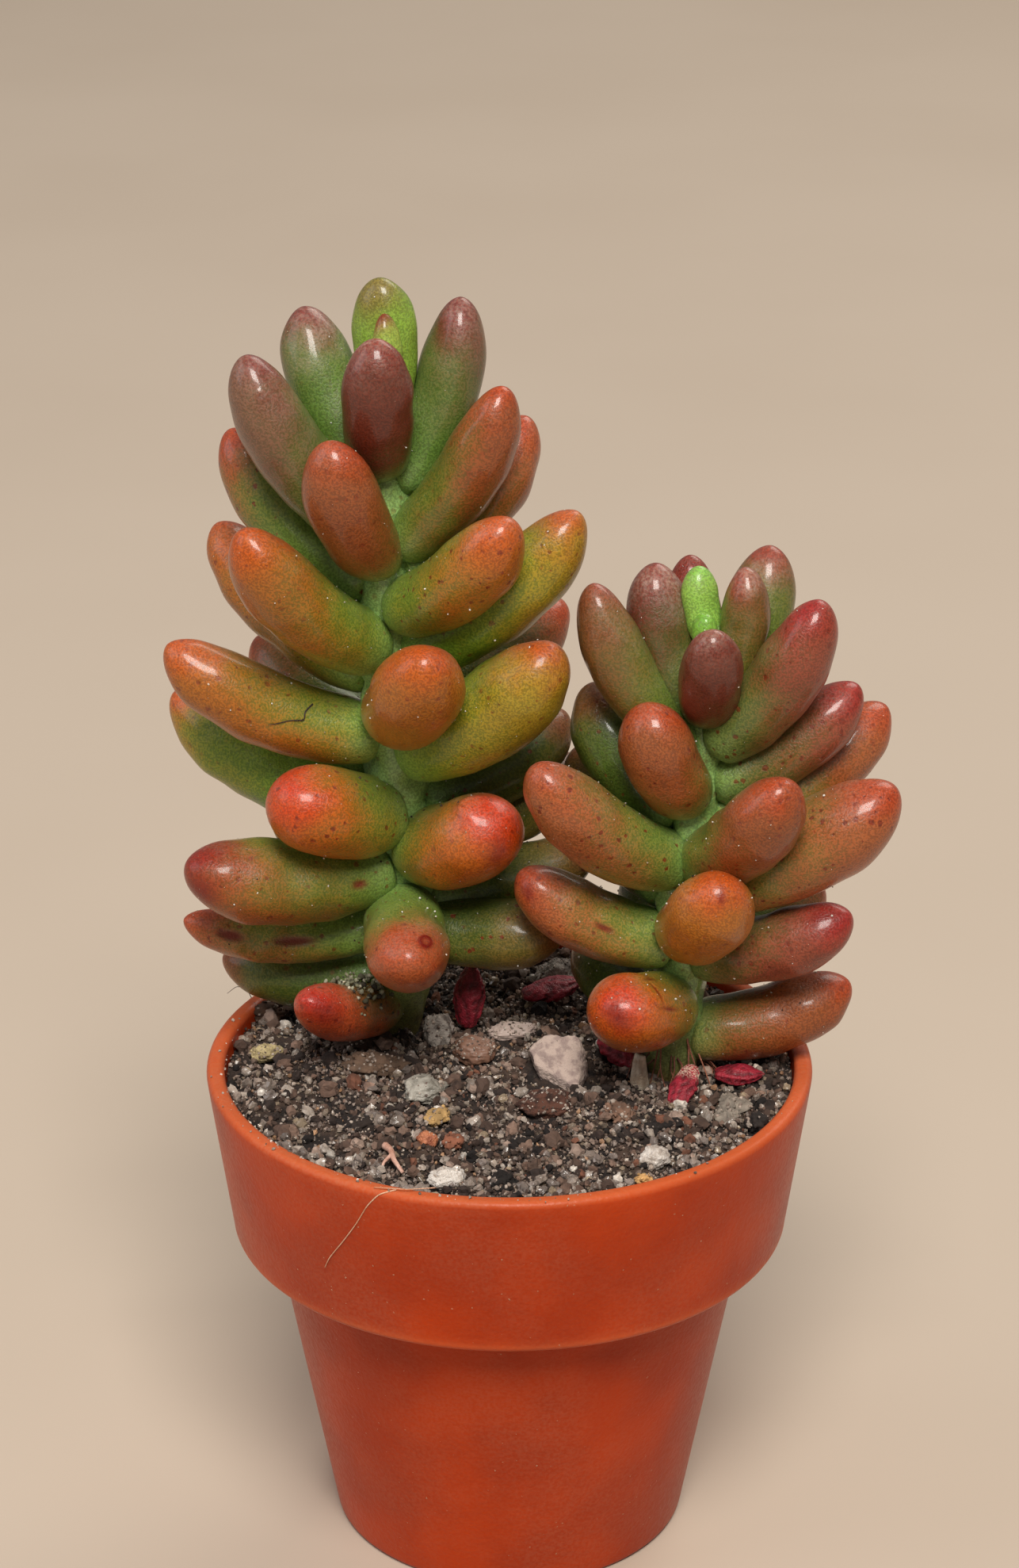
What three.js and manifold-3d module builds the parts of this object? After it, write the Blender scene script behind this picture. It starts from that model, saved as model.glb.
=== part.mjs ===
// Jelly bean plant: two leafy shoots of a small succulent in a tapered plastic pot of gritty soil.
// Millimetres and degrees, +Z up. The origin is the middle of the pot's underside, the front is -Y,
// and the tall shoot stands on the -X side of the short one.
import * as THREE from "three";
import { mergeVertices } from "three/addons/utils/BufferGeometryUtils.js";
import Module from "manifold-3d";

const wasm = await Module();
wasm.setup();

// ---- Driving dimensions ----

const CLEARANCE = 0.3; // between pieces that touch
const SEAT_CLEARANCE = 0.36; // round the faceted stones and leaves that lie in the soil
const ROUND_SIDES = 40; // flats round the pot and the soil
const HOLE_SIDES = 16; // flats round a drain hole and a stem's hole
const STEM_SIDES = 11; // flats round a stem
const THIN_SIDES = 8; // flats round a leaf and the root end

const POT = {
  height: 33.5,
  rimRadius: 20.0,
  rimRound: 0.45, // radius of the rim's rounded top edges
  wall: 1.2,
  collarHeight: 11.6,
  collarFootRadius: 18.5,
  collarFootRound: 0.5,
  neckRadius: 15.85,
  baseRadius: 11.9,
  baseRound: 0.5,
  floorTop: 2.0,
  padRadius: 3.2, // flat pad in the middle of the underside
  footWidth: 1.6, // flat ring that the pot stands on
  recess: 0.8, // depth of the underside between pad and foot ring
  drainCount: 6,
  drainRadius: 1.5,
  drainCircle: 6.9, // radius of the circle of drain holes
};

const SOIL = {
  level: POT.height - 0.95, // mean height of the surface
  rings: 10, // surface rings from the middle to the wall
  relief: 0.25, // half the height of the gentle swells
  grain: 0.3, // half the height of the rough grain
  holeDepth: 7.0, // how far the plain holes for the stems go down
  gritCount: 38,
  gritSmall: 0.6, // half sizes of the fused lumps of grit
  gritLarge: 1.1,
  gritFlattest: 0.6, // thickness over width of the flattest lump
  gritKeepOff: 3.6, // circle round each stem that is free of grit
  seed: 41,
};

const LEAF = {
  rings: [0, 0.16, 0.36, 0.58, 0.78, 0.93], // places along the leaf
  flatness: 0.9, // thickness over width
  bend: 40, // how far the leaf curves upwards from stem to tip
  rootInset: 0.55, // where the leaf starts, as a share of the stem's radius
};

// Outlines of a leaf seen from above: "heel" is its half width at the stem as a share of the widest,
// "widest" is where that is, as a share of the length, and the powers round the heel and the tip.
const PLUMP = { heel: 0.6, widest: 0.6, heelPower: 2.5, tipShoulder: 2, tipPower: 0.55 };
const SHRUNKEN = { heel: 0.35, widest: 0.5, heelPower: 1.6, tipShoulder: 1.7, tipPower: 0.8 };

const GOLDEN_ANGLE = 137.5;
const STEM_ROOT_END = 0.8; // radius of a stem's buried end, as a share of its radius at the soil

// Leaves are counted by age, from the youngest at the tip of the stem. Each starts a golden angle
// further round than the one before, and lies lower and flatter as it ages. "habit" gives that
// course at a few ages, with how far the stem's twist has carried a leaf round. "departures" lists
// the leaves that grew out of line: [age, turn, pitch, length, width, height].
const SHOOTS = [
  {
    name: "tall_shoot",
    stem: {
      height: [0, 6, 25, 38, 46], // above the soil
      x: [-8, -7, -7.5, -8, -8.5],
      y: [7, 5, 4.5, 4, 4],
      radius: [2, 2.2, 2.1, 1.8, 0.6],
    },
    firstAzimuth: -90,
    habit: {
      age: [-3, 0, 10, 20, 33],
      height: [44.5, 40.5, 29, 16.5, 3.5],
      twist: [0, 0, 12, 22, 25],
      pitch: [85, 70, 45, 20, 0],
      length: [6.5, 10, 14, 14, 11],
      width: [2.5, 4.5, 5.5, 5.5, 4.5],
    },
    fallen: [29, 32],
    departures: [
      [-3, 90, 0, 0, -0.5, 0],
      [-2, 70, 10, 1.5, 1, 0.5],
      [-1, 10, -15, 2, 1, -1],
      [0, 0, 0, 0, 0, 0.5],
      [1, -30, 2, 2.5, 0, 0],
      [2, 5, -8, 3.5, 0.5, -1.5],
      [3, 10, -5, 2.5, 0, -1.5],
      [5, 0, 0, -0.5, 0, 0],
      [6, -10, -5, 0.5, 0, 0],
      [7, 0, -8, 1, 0, 0],
      [8, 15, -10, 0, 0, 0],
      [10, 0, 0, 0.5, 0, -0.5],
      [11, -10, 0, 1.5, 0, 0.5],
      [12, 15, -8, 1, 0, 0],
      [13, 10, 0, -1.5, 0.5, -1],
      [14, -15, -15, -0.5, 0, 0],
      [15, 0, -5, 1.5, 0, -0.5],
      [16, 0, 10, 0.5, 1, 0],
      [17, 30, -5, -1, 0, 0.5],
      [18, -20, 0, -4, 1, -2],
      [19, 0, 0, -2, 0, -0.5],
      [20, -5, 0, 2.5, 0.5, 0.5],
      [21, 20, 10, -4.5, 1, -1],
      [22, -45, -5, 0, 0, 0],
      [23, -10, -5, 1, 1, -0.5],
      [24, -10, -10, -3, 0, -3.5],
      [26, 5, -5, -1, 0.5, 0],
      [27, -30, 0, 0, 0, 1],
      [28, 0, -5, 1.5, -1, 0],
      [31, 0, 20, -1, -0.5, -3],
      [33, 15, 0, 0.5, 0, 1],
    ],
  },
  {
    name: "short_shoot",
    stem: {
      height: [0, 12, 24, 31],
      x: [10.7, 11.5, 12.5, 13],
      y: [0.5, 0.5, 0.5, 0.5],
      radius: [1.8, 1.8, 1.4, 0.4],
    },
    firstAzimuth: -90,
    habit: {
      age: [-4, -2, 2, 10, 20],
      height: [30.5, 27.5, 24, 15, 3.5],
      twist: [0, 0, 0, 8, 15],
      pitch: [75, 75, 60, 40, 10],
      length: [3.5, 8, 11, 13, 10],
      width: [2.5, 4, 5, 5.5, 4.5],
    },
    fallen: [],
    departures: [
      [-4, 45, 0, 1.5, 0, -0.5],
      [-3, 0, 10, -3, -1.5, 0.5],
      [-2, 0, 5, 1, -0.5, -1],
      [-1, 15, 0, 1.5, 0.5, -1.5],
      [0, 0, -10, -1, -0.5, 0],
      [1, -5, 0, 1, 0, 0.5],
      [2, -5, 0, 2, -0.5, -1],
      [3, 15, 0, 1.5, 0, 0.5],
      [4, -5, 10, 1, -1, 1],
      [5, -15, 10, -3, 0, -1],
      [6, -15, -15, -0.5, -0.5, 1],
      [7, -10, 0, -1.5, 0.5, -0.5],
      [8, 10, 0, -0.5, 0, -2],
      [9, -55, -15, 1.5, 0, 1.5],
      [10, -5, 0, 1, 0, 0],
      [11, -5, -5, 2, 1, 0],
      [13, 15, 10, -2, 0.5, -1],
      [14, -15, -20, -1.5, 0, -1],
      [15, 5, 5, 0, 0, 0],
      [16, 20, 0, 0, 0, 0.5],
      [18, 0, 5, -2, 1, -0.5],
      [19, -15, 5, 1, 0.5, -2],
      [20, -30, 0, 0, 0, 0],
    ],
  },
];

// Stones that lie partly sunk in the soil: name, place [x, y], half sizes along its own axes,
// turn about +Z, height of its middle above the soil, colour, seed of its shape.
const STONES = [
  ["pitted_stone", [-4.8, 4.7], [1.2, 1.0, 1.3], 60, 0.6, "#8d8078", 8],
  ["flat_pale_stone", [0.1, 4.9], [1.6, 0.8, 0.6], 12, 0.3, "#a5968c", 5],
  ["bark_lump", [2.4, -5.2], [1.9, 1.2, 0.95], 8, 0.3, "#5b3023", 13],
  ["brown_pebble", [-2.3, 2.0], [1.5, 1.2, 0.95], -20, 0.35, "#7b5a4b", 17],
  ["white_quartz", [9.2, -12.5], [0.95, 0.85, 0.8], 40, 0.35, "#cdbcb2", 19],
  ["grey_quartz", [-5.7, -3.4], [1.5, 1.3, 0.8], 75, 0.25, "#a09a90", 23],
  ["clear_quartz", [-3.9, -15.2], [1.2, 0.8, 0.7], 15, 0.25, "#b3aa9c", 29],
  ["orange_pebble", [-5.2, -10.6], [0.7, 0.6, 0.65], 0, 0.3, "#b0704f", 31],
  ["yellow_stone", [-16.2, 1.6], [1.2, 0.7, 0.65], 5, 0.3, "#a89a6c", 37],
  ["back_stone", [3.4, 13.2], [1.7, 1.2, 1.3], 30, 0.5, "#857a72", 43],
];
const STONE_PLANES = 12; // flat sides that a stone is broken to
const STONE_NEAREST = 0.78; // distance of the nearest plane, as a share of the half size
const STONE_REACH = 1.12; // how far a stone may bulge past its half sizes
const STONE_SCATTER = 50; // degrees that a plane may lie off its even turn

// The pale wedge of pumice between the shoots: its corners [x, y, height above the soil].
const PUMICE = {
  name: "pumice_stone",
  color: "#c0a59a",
  corners: [
    [1.2, -0.4, 1.8],
    [2.5, 0.5, 2.5],
    [4.7, 0.4, 2.3],
    [5.3, -0.7, 0.8],
    [4.5, -3.3, 0.3],
    [1.6, -1.5, 1.1],
    [1.4, 1.7, -0.6],
    [5.0, 1.9, -0.6],
    [5.3, -0.6, -0.6],
    [4.3, -3.0, -0.6],
    [2.0, -1.3, -0.6],
  ],
};

// Fallen leaves, shrunken and thin: name, stem end [x, y, height above the soil], azimuth, pitch,
// length, width, thickness over width, bend.
const FALLEN_LEAVES = [
  ["dry_leaf_spear", [-2.9, 5.6, 0.35], 60, 78, 4.6, 2.4, 0.55, -14],
  ["dry_leaf_back", [0.9, 9.4, 0.9], 15, 8, 4.4, 2.6, 0.55, 10],
  ["dry_leaf_middle", [6.2, 2.1, 1.25], -52, -10, 3.9, 2.4, 0.6, -10],
  ["dry_leaf_front", [12.0, -2.4, 1.5], -112, -20, 4.2, 1.9, 0.55, 12],
  ["dry_leaf_side", [13.5, -1.8, 0.6], 0, 0, 3.3, 2.1, 0.6, 8],
];

// A pale broken root end that stands in the soil by the short shoot.
const ROOT_END = {
  name: "root_end",
  place: [8.5, -2.0],
  radius: 0.62,
  tipRadius: 0.38,
  height: 2.3, // to the shoulder of its broken tip
  tip: 0.3,
  sunk: 1.4,
  lean: 14,
};

const FINISH = {
  pot: { color: "#a8431f", roughness: 0.5 },
  soil: { color: "#5f514a", roughness: 0.95 },
  shoot: { color: "#a05a2c", roughness: 0.4 },
  fallenLeaf: { color: "#7c231f", roughness: 0.6 },
  root: { color: "#bda58e", roughness: 0.9 },
};
const STONE_ROUGHNESS = 0.85;

// ---- Small tools ----

// A repeatable stream of numbers between 0 and 1.
function randomStream(seed) {
  let state = seed * 7919;
  return () => {
    state = (state * 1664525 + 1013904223) % 4294967296;
    return state / 4294967296;
  };
}

// The value at x of the broken line through the points (xs, ys).
function along(xs, ys, x) {
  if (x <= xs[0]) return ys[0];
  for (let i = 1; i < xs.length; i++)
    if (x <= xs[i]) return THREE.MathUtils.mapLinear(x, xs[i - 1], xs[i], ys[i - 1], ys[i]);
  return ys.at(-1);
}

// A three.js geometry as a solid that can be joined and cut.
function toSolid(geometry) {
  const bare = geometry.clone();
  bare.deleteAttribute("normal");
  bare.deleteAttribute("uv");
  const merged = mergeVertices(bare, 1e-4);
  const corners = merged.index.array;
  const kept = [];
  for (let i = 0; i < corners.length; i += 3) {
    const [a, b, c] = corners.slice(i, i + 3);
    if (a !== b && b !== c && c !== a) kept.push(a, b, c);
  }
  const vertProperties = new Float32Array(merged.attributes.position.array);
  const triVerts = new Uint32Array(kept);
  return new wasm.Manifold(new wasm.Mesh({ numProp: 3, vertProperties, triVerts }));
}

// The largest body of a solid, without loose scraps and with any sealed hollow filled.
function largestBody(body) {
  return body.decompose().sort((a, b) => b.volume() - a.volume())[0];
}

// A solid as a named mesh in its own plain material.
function toMesh(name, body, finish) {
  const { vertProperties, triVerts } = body.getMesh();
  const geometry = new THREE.BufferGeometry();
  geometry.setAttribute("position", new THREE.BufferAttribute(vertProperties, 3));
  geometry.setIndex(new THREE.BufferAttribute(triVerts, 1));
  geometry.computeVertexNormals();
  const mesh = new THREE.Mesh(geometry, new THREE.MeshStandardMaterial({ ...finish, metalness: 0 }));
  mesh.name = name;
  return mesh;
}

// The body of revolution about +Z of a profile of [radius, height] points, from the axis to the axis.
function turned(profile, sides) {
  const points = profile.map(([radius, height]) => new THREE.Vector2(radius, height));
  return new THREE.LatheGeometry(points, sides).rotateX(Math.PI / 2);
}

// Moves each vertex of a geometry to where "move" puts it.
function reshape(geometry, move) {
  const position = geometry.attributes.position;
  const point = new THREE.Vector3();
  for (let i = 0; i < position.count; i++) {
    move(point.fromBufferAttribute(position, i));
    position.setXYZ(i, point.x, point.y, point.z);
  }
  return geometry;
}

// ---- Pot ----

const SHELF_TOP = POT.height - POT.collarHeight + POT.wall; // inside step above the neck
const FLOOR_RADIUS = POT.baseRadius - 1.5 * POT.wall; // flat inside floor, below its chamfer
const WALL_FOOT = { radius: POT.baseRadius - 0.85 * POT.wall, height: POT.floorTop + 0.5 * POT.wall };

function buildPot() {
  const { height, rimRadius, rimRound, wall, collarFootRadius, collarFootRound } = POT;
  const { neckRadius, baseRadius } = POT;
  const collarFoot = height - POT.collarHeight;
  const rimInner = rimRadius - wall;
  const corner = rimRound * (1 - Math.SQRT1_2); // middle of a rounded edge
  const profile = [
    [0, 0],
    [POT.padRadius, 0],
    [POT.padRadius + POT.recess, POT.recess],
    [baseRadius - POT.footWidth - POT.recess, POT.recess],
    [baseRadius - POT.footWidth, 0],
    [baseRadius - POT.baseRound, 0],
    [baseRadius, POT.baseRound],
    [neckRadius, collarFoot],
    [collarFootRadius - collarFootRound, collarFoot],
    [collarFootRadius, collarFoot + collarFootRound],
    [rimRadius, height - rimRound],
    [rimRadius - corner, height - corner],
    [rimRadius - rimRound, height],
    [rimInner + rimRound, height],
    [rimInner + corner, height - corner],
    [rimInner, height - rimRound],
    [collarFootRadius - wall, SHELF_TOP],
    [neckRadius - wall, SHELF_TOP],
    [WALL_FOOT.radius, WALL_FOOT.height],
    [FLOOR_RADIUS, POT.floorTop],
    [0, POT.floorTop],
  ];
  let body = toSolid(turned(profile, ROUND_SIDES));
  for (let i = 0; i < POT.drainCount; i++) {
    const angle = (2 * Math.PI * i) / POT.drainCount;
    const depth = 4 * POT.floorTop;
    const drill = new THREE.CylinderGeometry(POT.drainRadius, POT.drainRadius, depth, HOLE_SIDES);
    drill.rotateX(Math.PI / 2);
    drill.translate(POT.drainCircle * Math.cos(angle), POT.drainCircle * Math.sin(angle), 0);
    body = body.subtract(toSolid(drill));
  }
  return body;
}

// ---- Shoots ----

// Half the width of a leaf at t, from 0 at the stem to 1 at the tip, as a share of its widest.
function halfWidth({ heel, widest, heelPower, tipShoulder, tipPower }, t) {
  if (t < widest) return heel + (1 - heel) * (1 - (1 - t / widest) ** heelPower) ** (1 / heelPower);
  return (1 - ((t - widest) / (1 - widest)) ** tipShoulder) ** tipPower;
}

// A leaf: a turned body along its length, flattened and then bent upwards along an arc. "grow" makes
// it bigger all round, for the seat that it lies in.
function leafGeometry({ root, azimuth, pitch, length, width, flatness, bend, outline, grow = 0 }) {
  const profile = [
    [0, -grow],
    [(outline.heel * width) / 2 + grow, -grow],
  ];
  for (const t of LEAF.rings.slice(1)) {
    profile.push([(halfWidth(outline, t) * width) / 2 + grow, t * length]);
  }
  profile.push([0, length + grow]);
  const turn = THREE.MathUtils.degToRad(azimuth);
  const out = new THREE.Vector3(Math.cos(turn), Math.sin(turn), 0);
  const side = new THREE.Vector3(-Math.sin(turn), Math.cos(turn), 0);
  const start = THREE.MathUtils.degToRad(pitch - bend / 2);
  const curvature = THREE.MathUtils.degToRad(bend) / length;
  return reshape(turned(profile, THIN_SIDES), (point) => {
    const angle = start + curvature * point.z;
    const outwards = (Math.sin(angle) - Math.sin(start)) / curvature;
    const upwards = (Math.cos(start) - Math.cos(angle)) / curvature;
    const across = point.x;
    const raised = point.y * flatness;
    point.set(root[0], root[1], root[2] + upwards + raised * Math.cos(angle));
    point.addScaledVector(out, outwards - raised * Math.sin(angle));
    point.addScaledVector(side, across);
  });
}

// A point on the axis of a shoot's stem.
function stemPoint({ stem }, height) {
  return [along(stem.height, stem.x, height), along(stem.height, stem.y, height), SOIL.level + height];
}

function stemRadius({ stem }, height) {
  return along(stem.height, stem.radius, height);
}

// The stem, upright in its hole in the soil and then following its axis to the growing tip.
function stemGeometry(shoot) {
  const { height, radius } = shoot.stem;
  const rootEnd = CLEARANCE - SOIL.holeDepth;
  const profile = [
    [0, rootEnd],
    [STEM_ROOT_END * radius[0], rootEnd],
  ];
  height.forEach((level, i) => profile.push([radius[i], level]));
  profile.push([0, height.at(-1) + radius.at(-1)]);
  return reshape(turned(profile, STEM_SIDES), (point) => {
    const [x, y, z] = stemPoint(shoot, point.z);
    point.set(point.x + x, point.y + y, z);
  });
}

function buildShoot(shoot) {
  const { habit } = shoot;
  const usual = (quality, age) => along(habit.age, habit[quality], age);
  let body = toSolid(stemGeometry(shoot));
  for (let age = habit.age[0]; age <= habit.age.at(-1); age += 1) {
    if (shoot.fallen.includes(age)) continue;
    const departure = shoot.departures.find(([which]) => which === age) ?? [];
    const [, turn = 0, pitch = 0, length = 0, width = 0, lift = 0] = departure;
    const height = usual("height", age) + lift;
    const azimuth = shoot.firstAzimuth + GOLDEN_ANGLE * age + usual("twist", age) + turn;
    const [x, y, z] = stemPoint(shoot, height);
    const inset = LEAF.rootInset * stemRadius(shoot, height);
    const heading = THREE.MathUtils.degToRad(azimuth);
    const leaf = leafGeometry({
      root: [x + inset * Math.cos(heading), y + inset * Math.sin(heading), z],
      azimuth,
      pitch: usual("pitch", age) + pitch,
      length: usual("length", age) + length,
      width: usual("width", age) + width,
      flatness: LEAF.flatness,
      bend: LEAF.bend,
      outline: PLUMP,
    });
    body = body.add(toSolid(leaf));
  }
  return largestBody(body);
}

// ---- Stones and fallen leaves ----

// A number from -1 to 1 that differs from point to point, and is the same each time.
function grain(x, y) {
  const mixed = Math.sin(Math.round(x * 50) * 12.9898 + Math.round(y * 50) * 78.233) * 43758.5453;
  return 2 * (mixed - Math.floor(mixed)) - 1;
}

// The height of the soil's surface, without its grain and grit.
function soilHeight(x, y) {
  const swell = Math.sin(0.42 * x + 0.8) * Math.cos(0.37 * y - 0.5) + 0.5 * Math.sin(0.9 * x - 0.7 * y);
  return SOIL.level + SOIL.relief * swell;
}

// A stone broken to flat sides: as far out in each direction as its nearest plane lets it go.
function stoneGeometry([, [x, y], [a, b, c], turn, lift, , seed], grow = 0) {
  const random = randomStream(seed);
  const planes = [];
  for (let i = 0; i < STONE_PLANES; i++) {
    const height = 1 - (2 * (i + 0.5)) / STONE_PLANES;
    const angle = THREE.MathUtils.degToRad(GOLDEN_ANGLE * i + STONE_SCATTER * random());
    const level = Math.sqrt(1 - height * height);
    const normal = new THREE.Vector3(level * Math.cos(angle), level * Math.sin(angle), height);
    planes.push({ normal, distance: THREE.MathUtils.lerp(STONE_NEAREST, 1, random()) });
  }
  const geometry = reshape(new THREE.IcosahedronGeometry(1, 1), (point) => {
    let reach = STONE_REACH;
    for (const { normal, distance } of planes) {
      const facing = normal.dot(point);
      if (facing > 0) reach = Math.min(reach, distance / facing);
    }
    point.set(point.x * (reach * a + grow), point.y * (reach * b + grow), point.z * (reach * c + grow));
  });
  return geometry.rotateZ(THREE.MathUtils.degToRad(turn)).translate(x, y, soilHeight(x, y) + lift);
}

function fallenLeafGeometry([, [x, y, above], azimuth, pitch, length, width, thin, bend], grow = 0) {
  const root = [x, y, SOIL.level + above];
  const flatness = (width * thin + 2 * grow) / (width + 2 * grow);
  return leafGeometry({ root, azimuth, pitch, length, width, flatness, bend, outline: SHRUNKEN, grow });
}

// The wedge of pumice, or the wedge grown by "grow" all round.
function pumiceBody(grow = 0) {
  const corners = [];
  for (const [x, y, above] of PUMICE.corners) {
    for (const across of [-grow, grow]) {
      for (const away of [-grow, grow]) {
        for (const up of [-grow, grow]) corners.push([x + across, y + away, SOIL.level + above + up]);
      }
    }
  }
  return wasm.Manifold.hull(corners);
}

function rootEndGeometry(grow = 0) {
  const { place, radius, tipRadius, height, tip, sunk, lean } = ROOT_END;
  const profile = [
    [0, -sunk - grow],
    [radius + grow, -sunk - grow],
    [radius + grow, 0],
    [tipRadius + grow, height],
    [0, height + tip + grow],
  ];
  const geometry = turned(profile, THIN_SIDES).rotateX(THREE.MathUtils.degToRad(lean));
  return geometry.translate(place[0], place[1], soilHeight(place[0], place[1]));
}

// ---- Soil ----

const SURFACE_RADIUS = POT.rimRadius - POT.wall - 1.4 * CLEARANCE; // the collar narrows below its rim

function soilBody() {
  const profile = [
    [0, POT.floorTop + CLEARANCE],
    [FLOOR_RADIUS - CLEARANCE, POT.floorTop + CLEARANCE],
    [WALL_FOOT.radius - CLEARANCE, WALL_FOOT.height + CLEARANCE],
    [POT.neckRadius - POT.wall - CLEARANCE, SHELF_TOP + CLEARANCE],
    [POT.collarFootRadius - POT.wall - CLEARANCE, SHELF_TOP + CLEARANCE],
  ];
  for (let i = SOIL.rings; i >= 0; i--) profile.push([(SURFACE_RADIUS * i) / SOIL.rings, SOIL.level]);
  return reshape(turned(profile, ROUND_SIDES), (point) => {
    if (point.z < SHELF_TOP + 2 * CLEARANCE) return;
    point.z = soilHeight(point.x, point.y) + SOIL.grain * grain(point.x, point.y);
  });
}

// Lumps of grit of many sizes, fused to the surface.
function addGrit(body) {
  const random = randomStream(SOIL.seed);
  const outermost = SURFACE_RADIUS - 1.3 * SOIL.gritLarge;
  for (let i = 0; i < SOIL.gritCount; i++) {
    const radius = outermost * Math.sqrt((i + 0.5) / SOIL.gritCount);
    const angle = THREE.MathUtils.degToRad(GOLDEN_ANGLE * i);
    const x = radius * Math.cos(angle);
    const y = radius * Math.sin(angle);
    const size = THREE.MathUtils.lerp(SOIL.gritSmall, SOIL.gritLarge, random() ** 2);
    const flat = THREE.MathUtils.lerp(SOIL.gritFlattest, 1, random());
    const turn = Math.PI * random();
    const tilt = Math.PI * random();
    if (SHOOTS.some(({ stem }) => Math.hypot(x - stem.x[0], y - stem.y[0]) < SOIL.gritKeepOff)) continue;
    const lump = new THREE.IcosahedronGeometry(size, 0).rotateX(tilt).scale(1, flat, flat).rotateZ(turn);
    body = body.add(toSolid(lump.translate(x, y, soilHeight(x, y))));
  }
  return body;
}

function buildSoil(resting) {
  let body = addGrit(toSolid(soilBody()));
  for (const { stem } of SHOOTS) {
    const holeRadius = stem.radius[0] + CLEARANCE;
    const hole = new THREE.CylinderGeometry(holeRadius, holeRadius, 2 * SOIL.holeDepth, HOLE_SIDES);
    hole.rotateX(Math.PI / 2);
    body = body.subtract(toSolid(hole.translate(stem.x[0], stem.y[0], SOIL.level)));
  }
  for (const seat of resting) body = body.subtract(seat);
  return largestBody(body);
}

// ---- The plant in its pot ----

const seats = [
  ...STONES.map((stone) => toSolid(stoneGeometry(stone, SEAT_CLEARANCE))),
  ...FALLEN_LEAVES.map((leaf) => toSolid(fallenLeafGeometry(leaf, SEAT_CLEARANCE))),
  toSolid(rootEndGeometry(CLEARANCE)),
  pumiceBody(CLEARANCE),
];

const plant = new THREE.Group();
plant.name = "jelly_bean_plant";
plant.add(toMesh("pot", buildPot(), FINISH.pot));
plant.add(toMesh("soil", buildSoil(seats), FINISH.soil));
for (const shoot of SHOOTS) plant.add(toMesh(shoot.name, buildShoot(shoot), FINISH.shoot));
for (const stone of STONES) {
  const [name, , , , , color] = stone;
  plant.add(toMesh(name, toSolid(stoneGeometry(stone)), { color, roughness: STONE_ROUGHNESS }));
}
for (const leaf of FALLEN_LEAVES) {
  const [name] = leaf;
  plant.add(toMesh(name, toSolid(fallenLeafGeometry(leaf)), FINISH.fallenLeaf));
}
plant.add(toMesh(PUMICE.name, pumiceBody(), { color: PUMICE.color, roughness: STONE_ROUGHNESS }));
plant.add(toMesh(ROOT_END.name, toSolid(rootEndGeometry()), FINISH.root));

export default plant;
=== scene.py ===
"""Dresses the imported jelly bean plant: a small pot of gritty soil with two leafy shoots.

Sizes are in millimetres and degrees here and become metres when a mesh is made. The middle of the
pot's underside is the origin, +Z is up and the front is -Y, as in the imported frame.
"""

import logging
from dataclasses import dataclass, field, replace
from enum import Enum

import bmesh
import bpy
import numpy as np
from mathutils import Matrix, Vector


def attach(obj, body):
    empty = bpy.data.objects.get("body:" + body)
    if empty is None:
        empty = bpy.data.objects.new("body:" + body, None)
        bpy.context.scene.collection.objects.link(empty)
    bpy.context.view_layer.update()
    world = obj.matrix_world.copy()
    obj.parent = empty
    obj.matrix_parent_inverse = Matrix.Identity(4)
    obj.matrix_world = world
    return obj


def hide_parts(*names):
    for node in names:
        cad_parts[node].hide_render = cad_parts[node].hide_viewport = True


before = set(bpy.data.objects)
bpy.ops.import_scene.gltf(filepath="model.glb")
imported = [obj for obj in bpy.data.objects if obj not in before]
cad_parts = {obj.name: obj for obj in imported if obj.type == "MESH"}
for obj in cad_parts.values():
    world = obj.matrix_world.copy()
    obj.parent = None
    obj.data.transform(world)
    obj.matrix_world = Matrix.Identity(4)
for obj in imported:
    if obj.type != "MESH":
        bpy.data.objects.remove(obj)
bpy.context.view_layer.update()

LOG = logging.getLogger("jelly_bean_plant")
MM = 0.001
BODY = "root"
GOLDEN_ANGLE = 137.5
STRAND_SIDES = 7

Colour = tuple[float, float, float, float]
Spot = tuple[float, float, float]


def paint(code: str) -> Colour:
    """Turn a hex colour into the linear colour that Blender reckons with.

    Args:
        code: six hex digits, such as "c0a59a".

    Returns:
        Linear red, green, blue and an alpha of 1.
    """
    levels = [int(code[i : i + 2], 16) / 255 for i in (0, 2, 4)]
    linear = [v / 12.92 if v <= 0.04045 else ((v + 0.055) / 1.055) ** 2.4 for v in levels]
    return (linear[0], linear[1], linear[2], 1.0)


# ---- Surfaces --------------------------------------------------------------------------------


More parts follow.
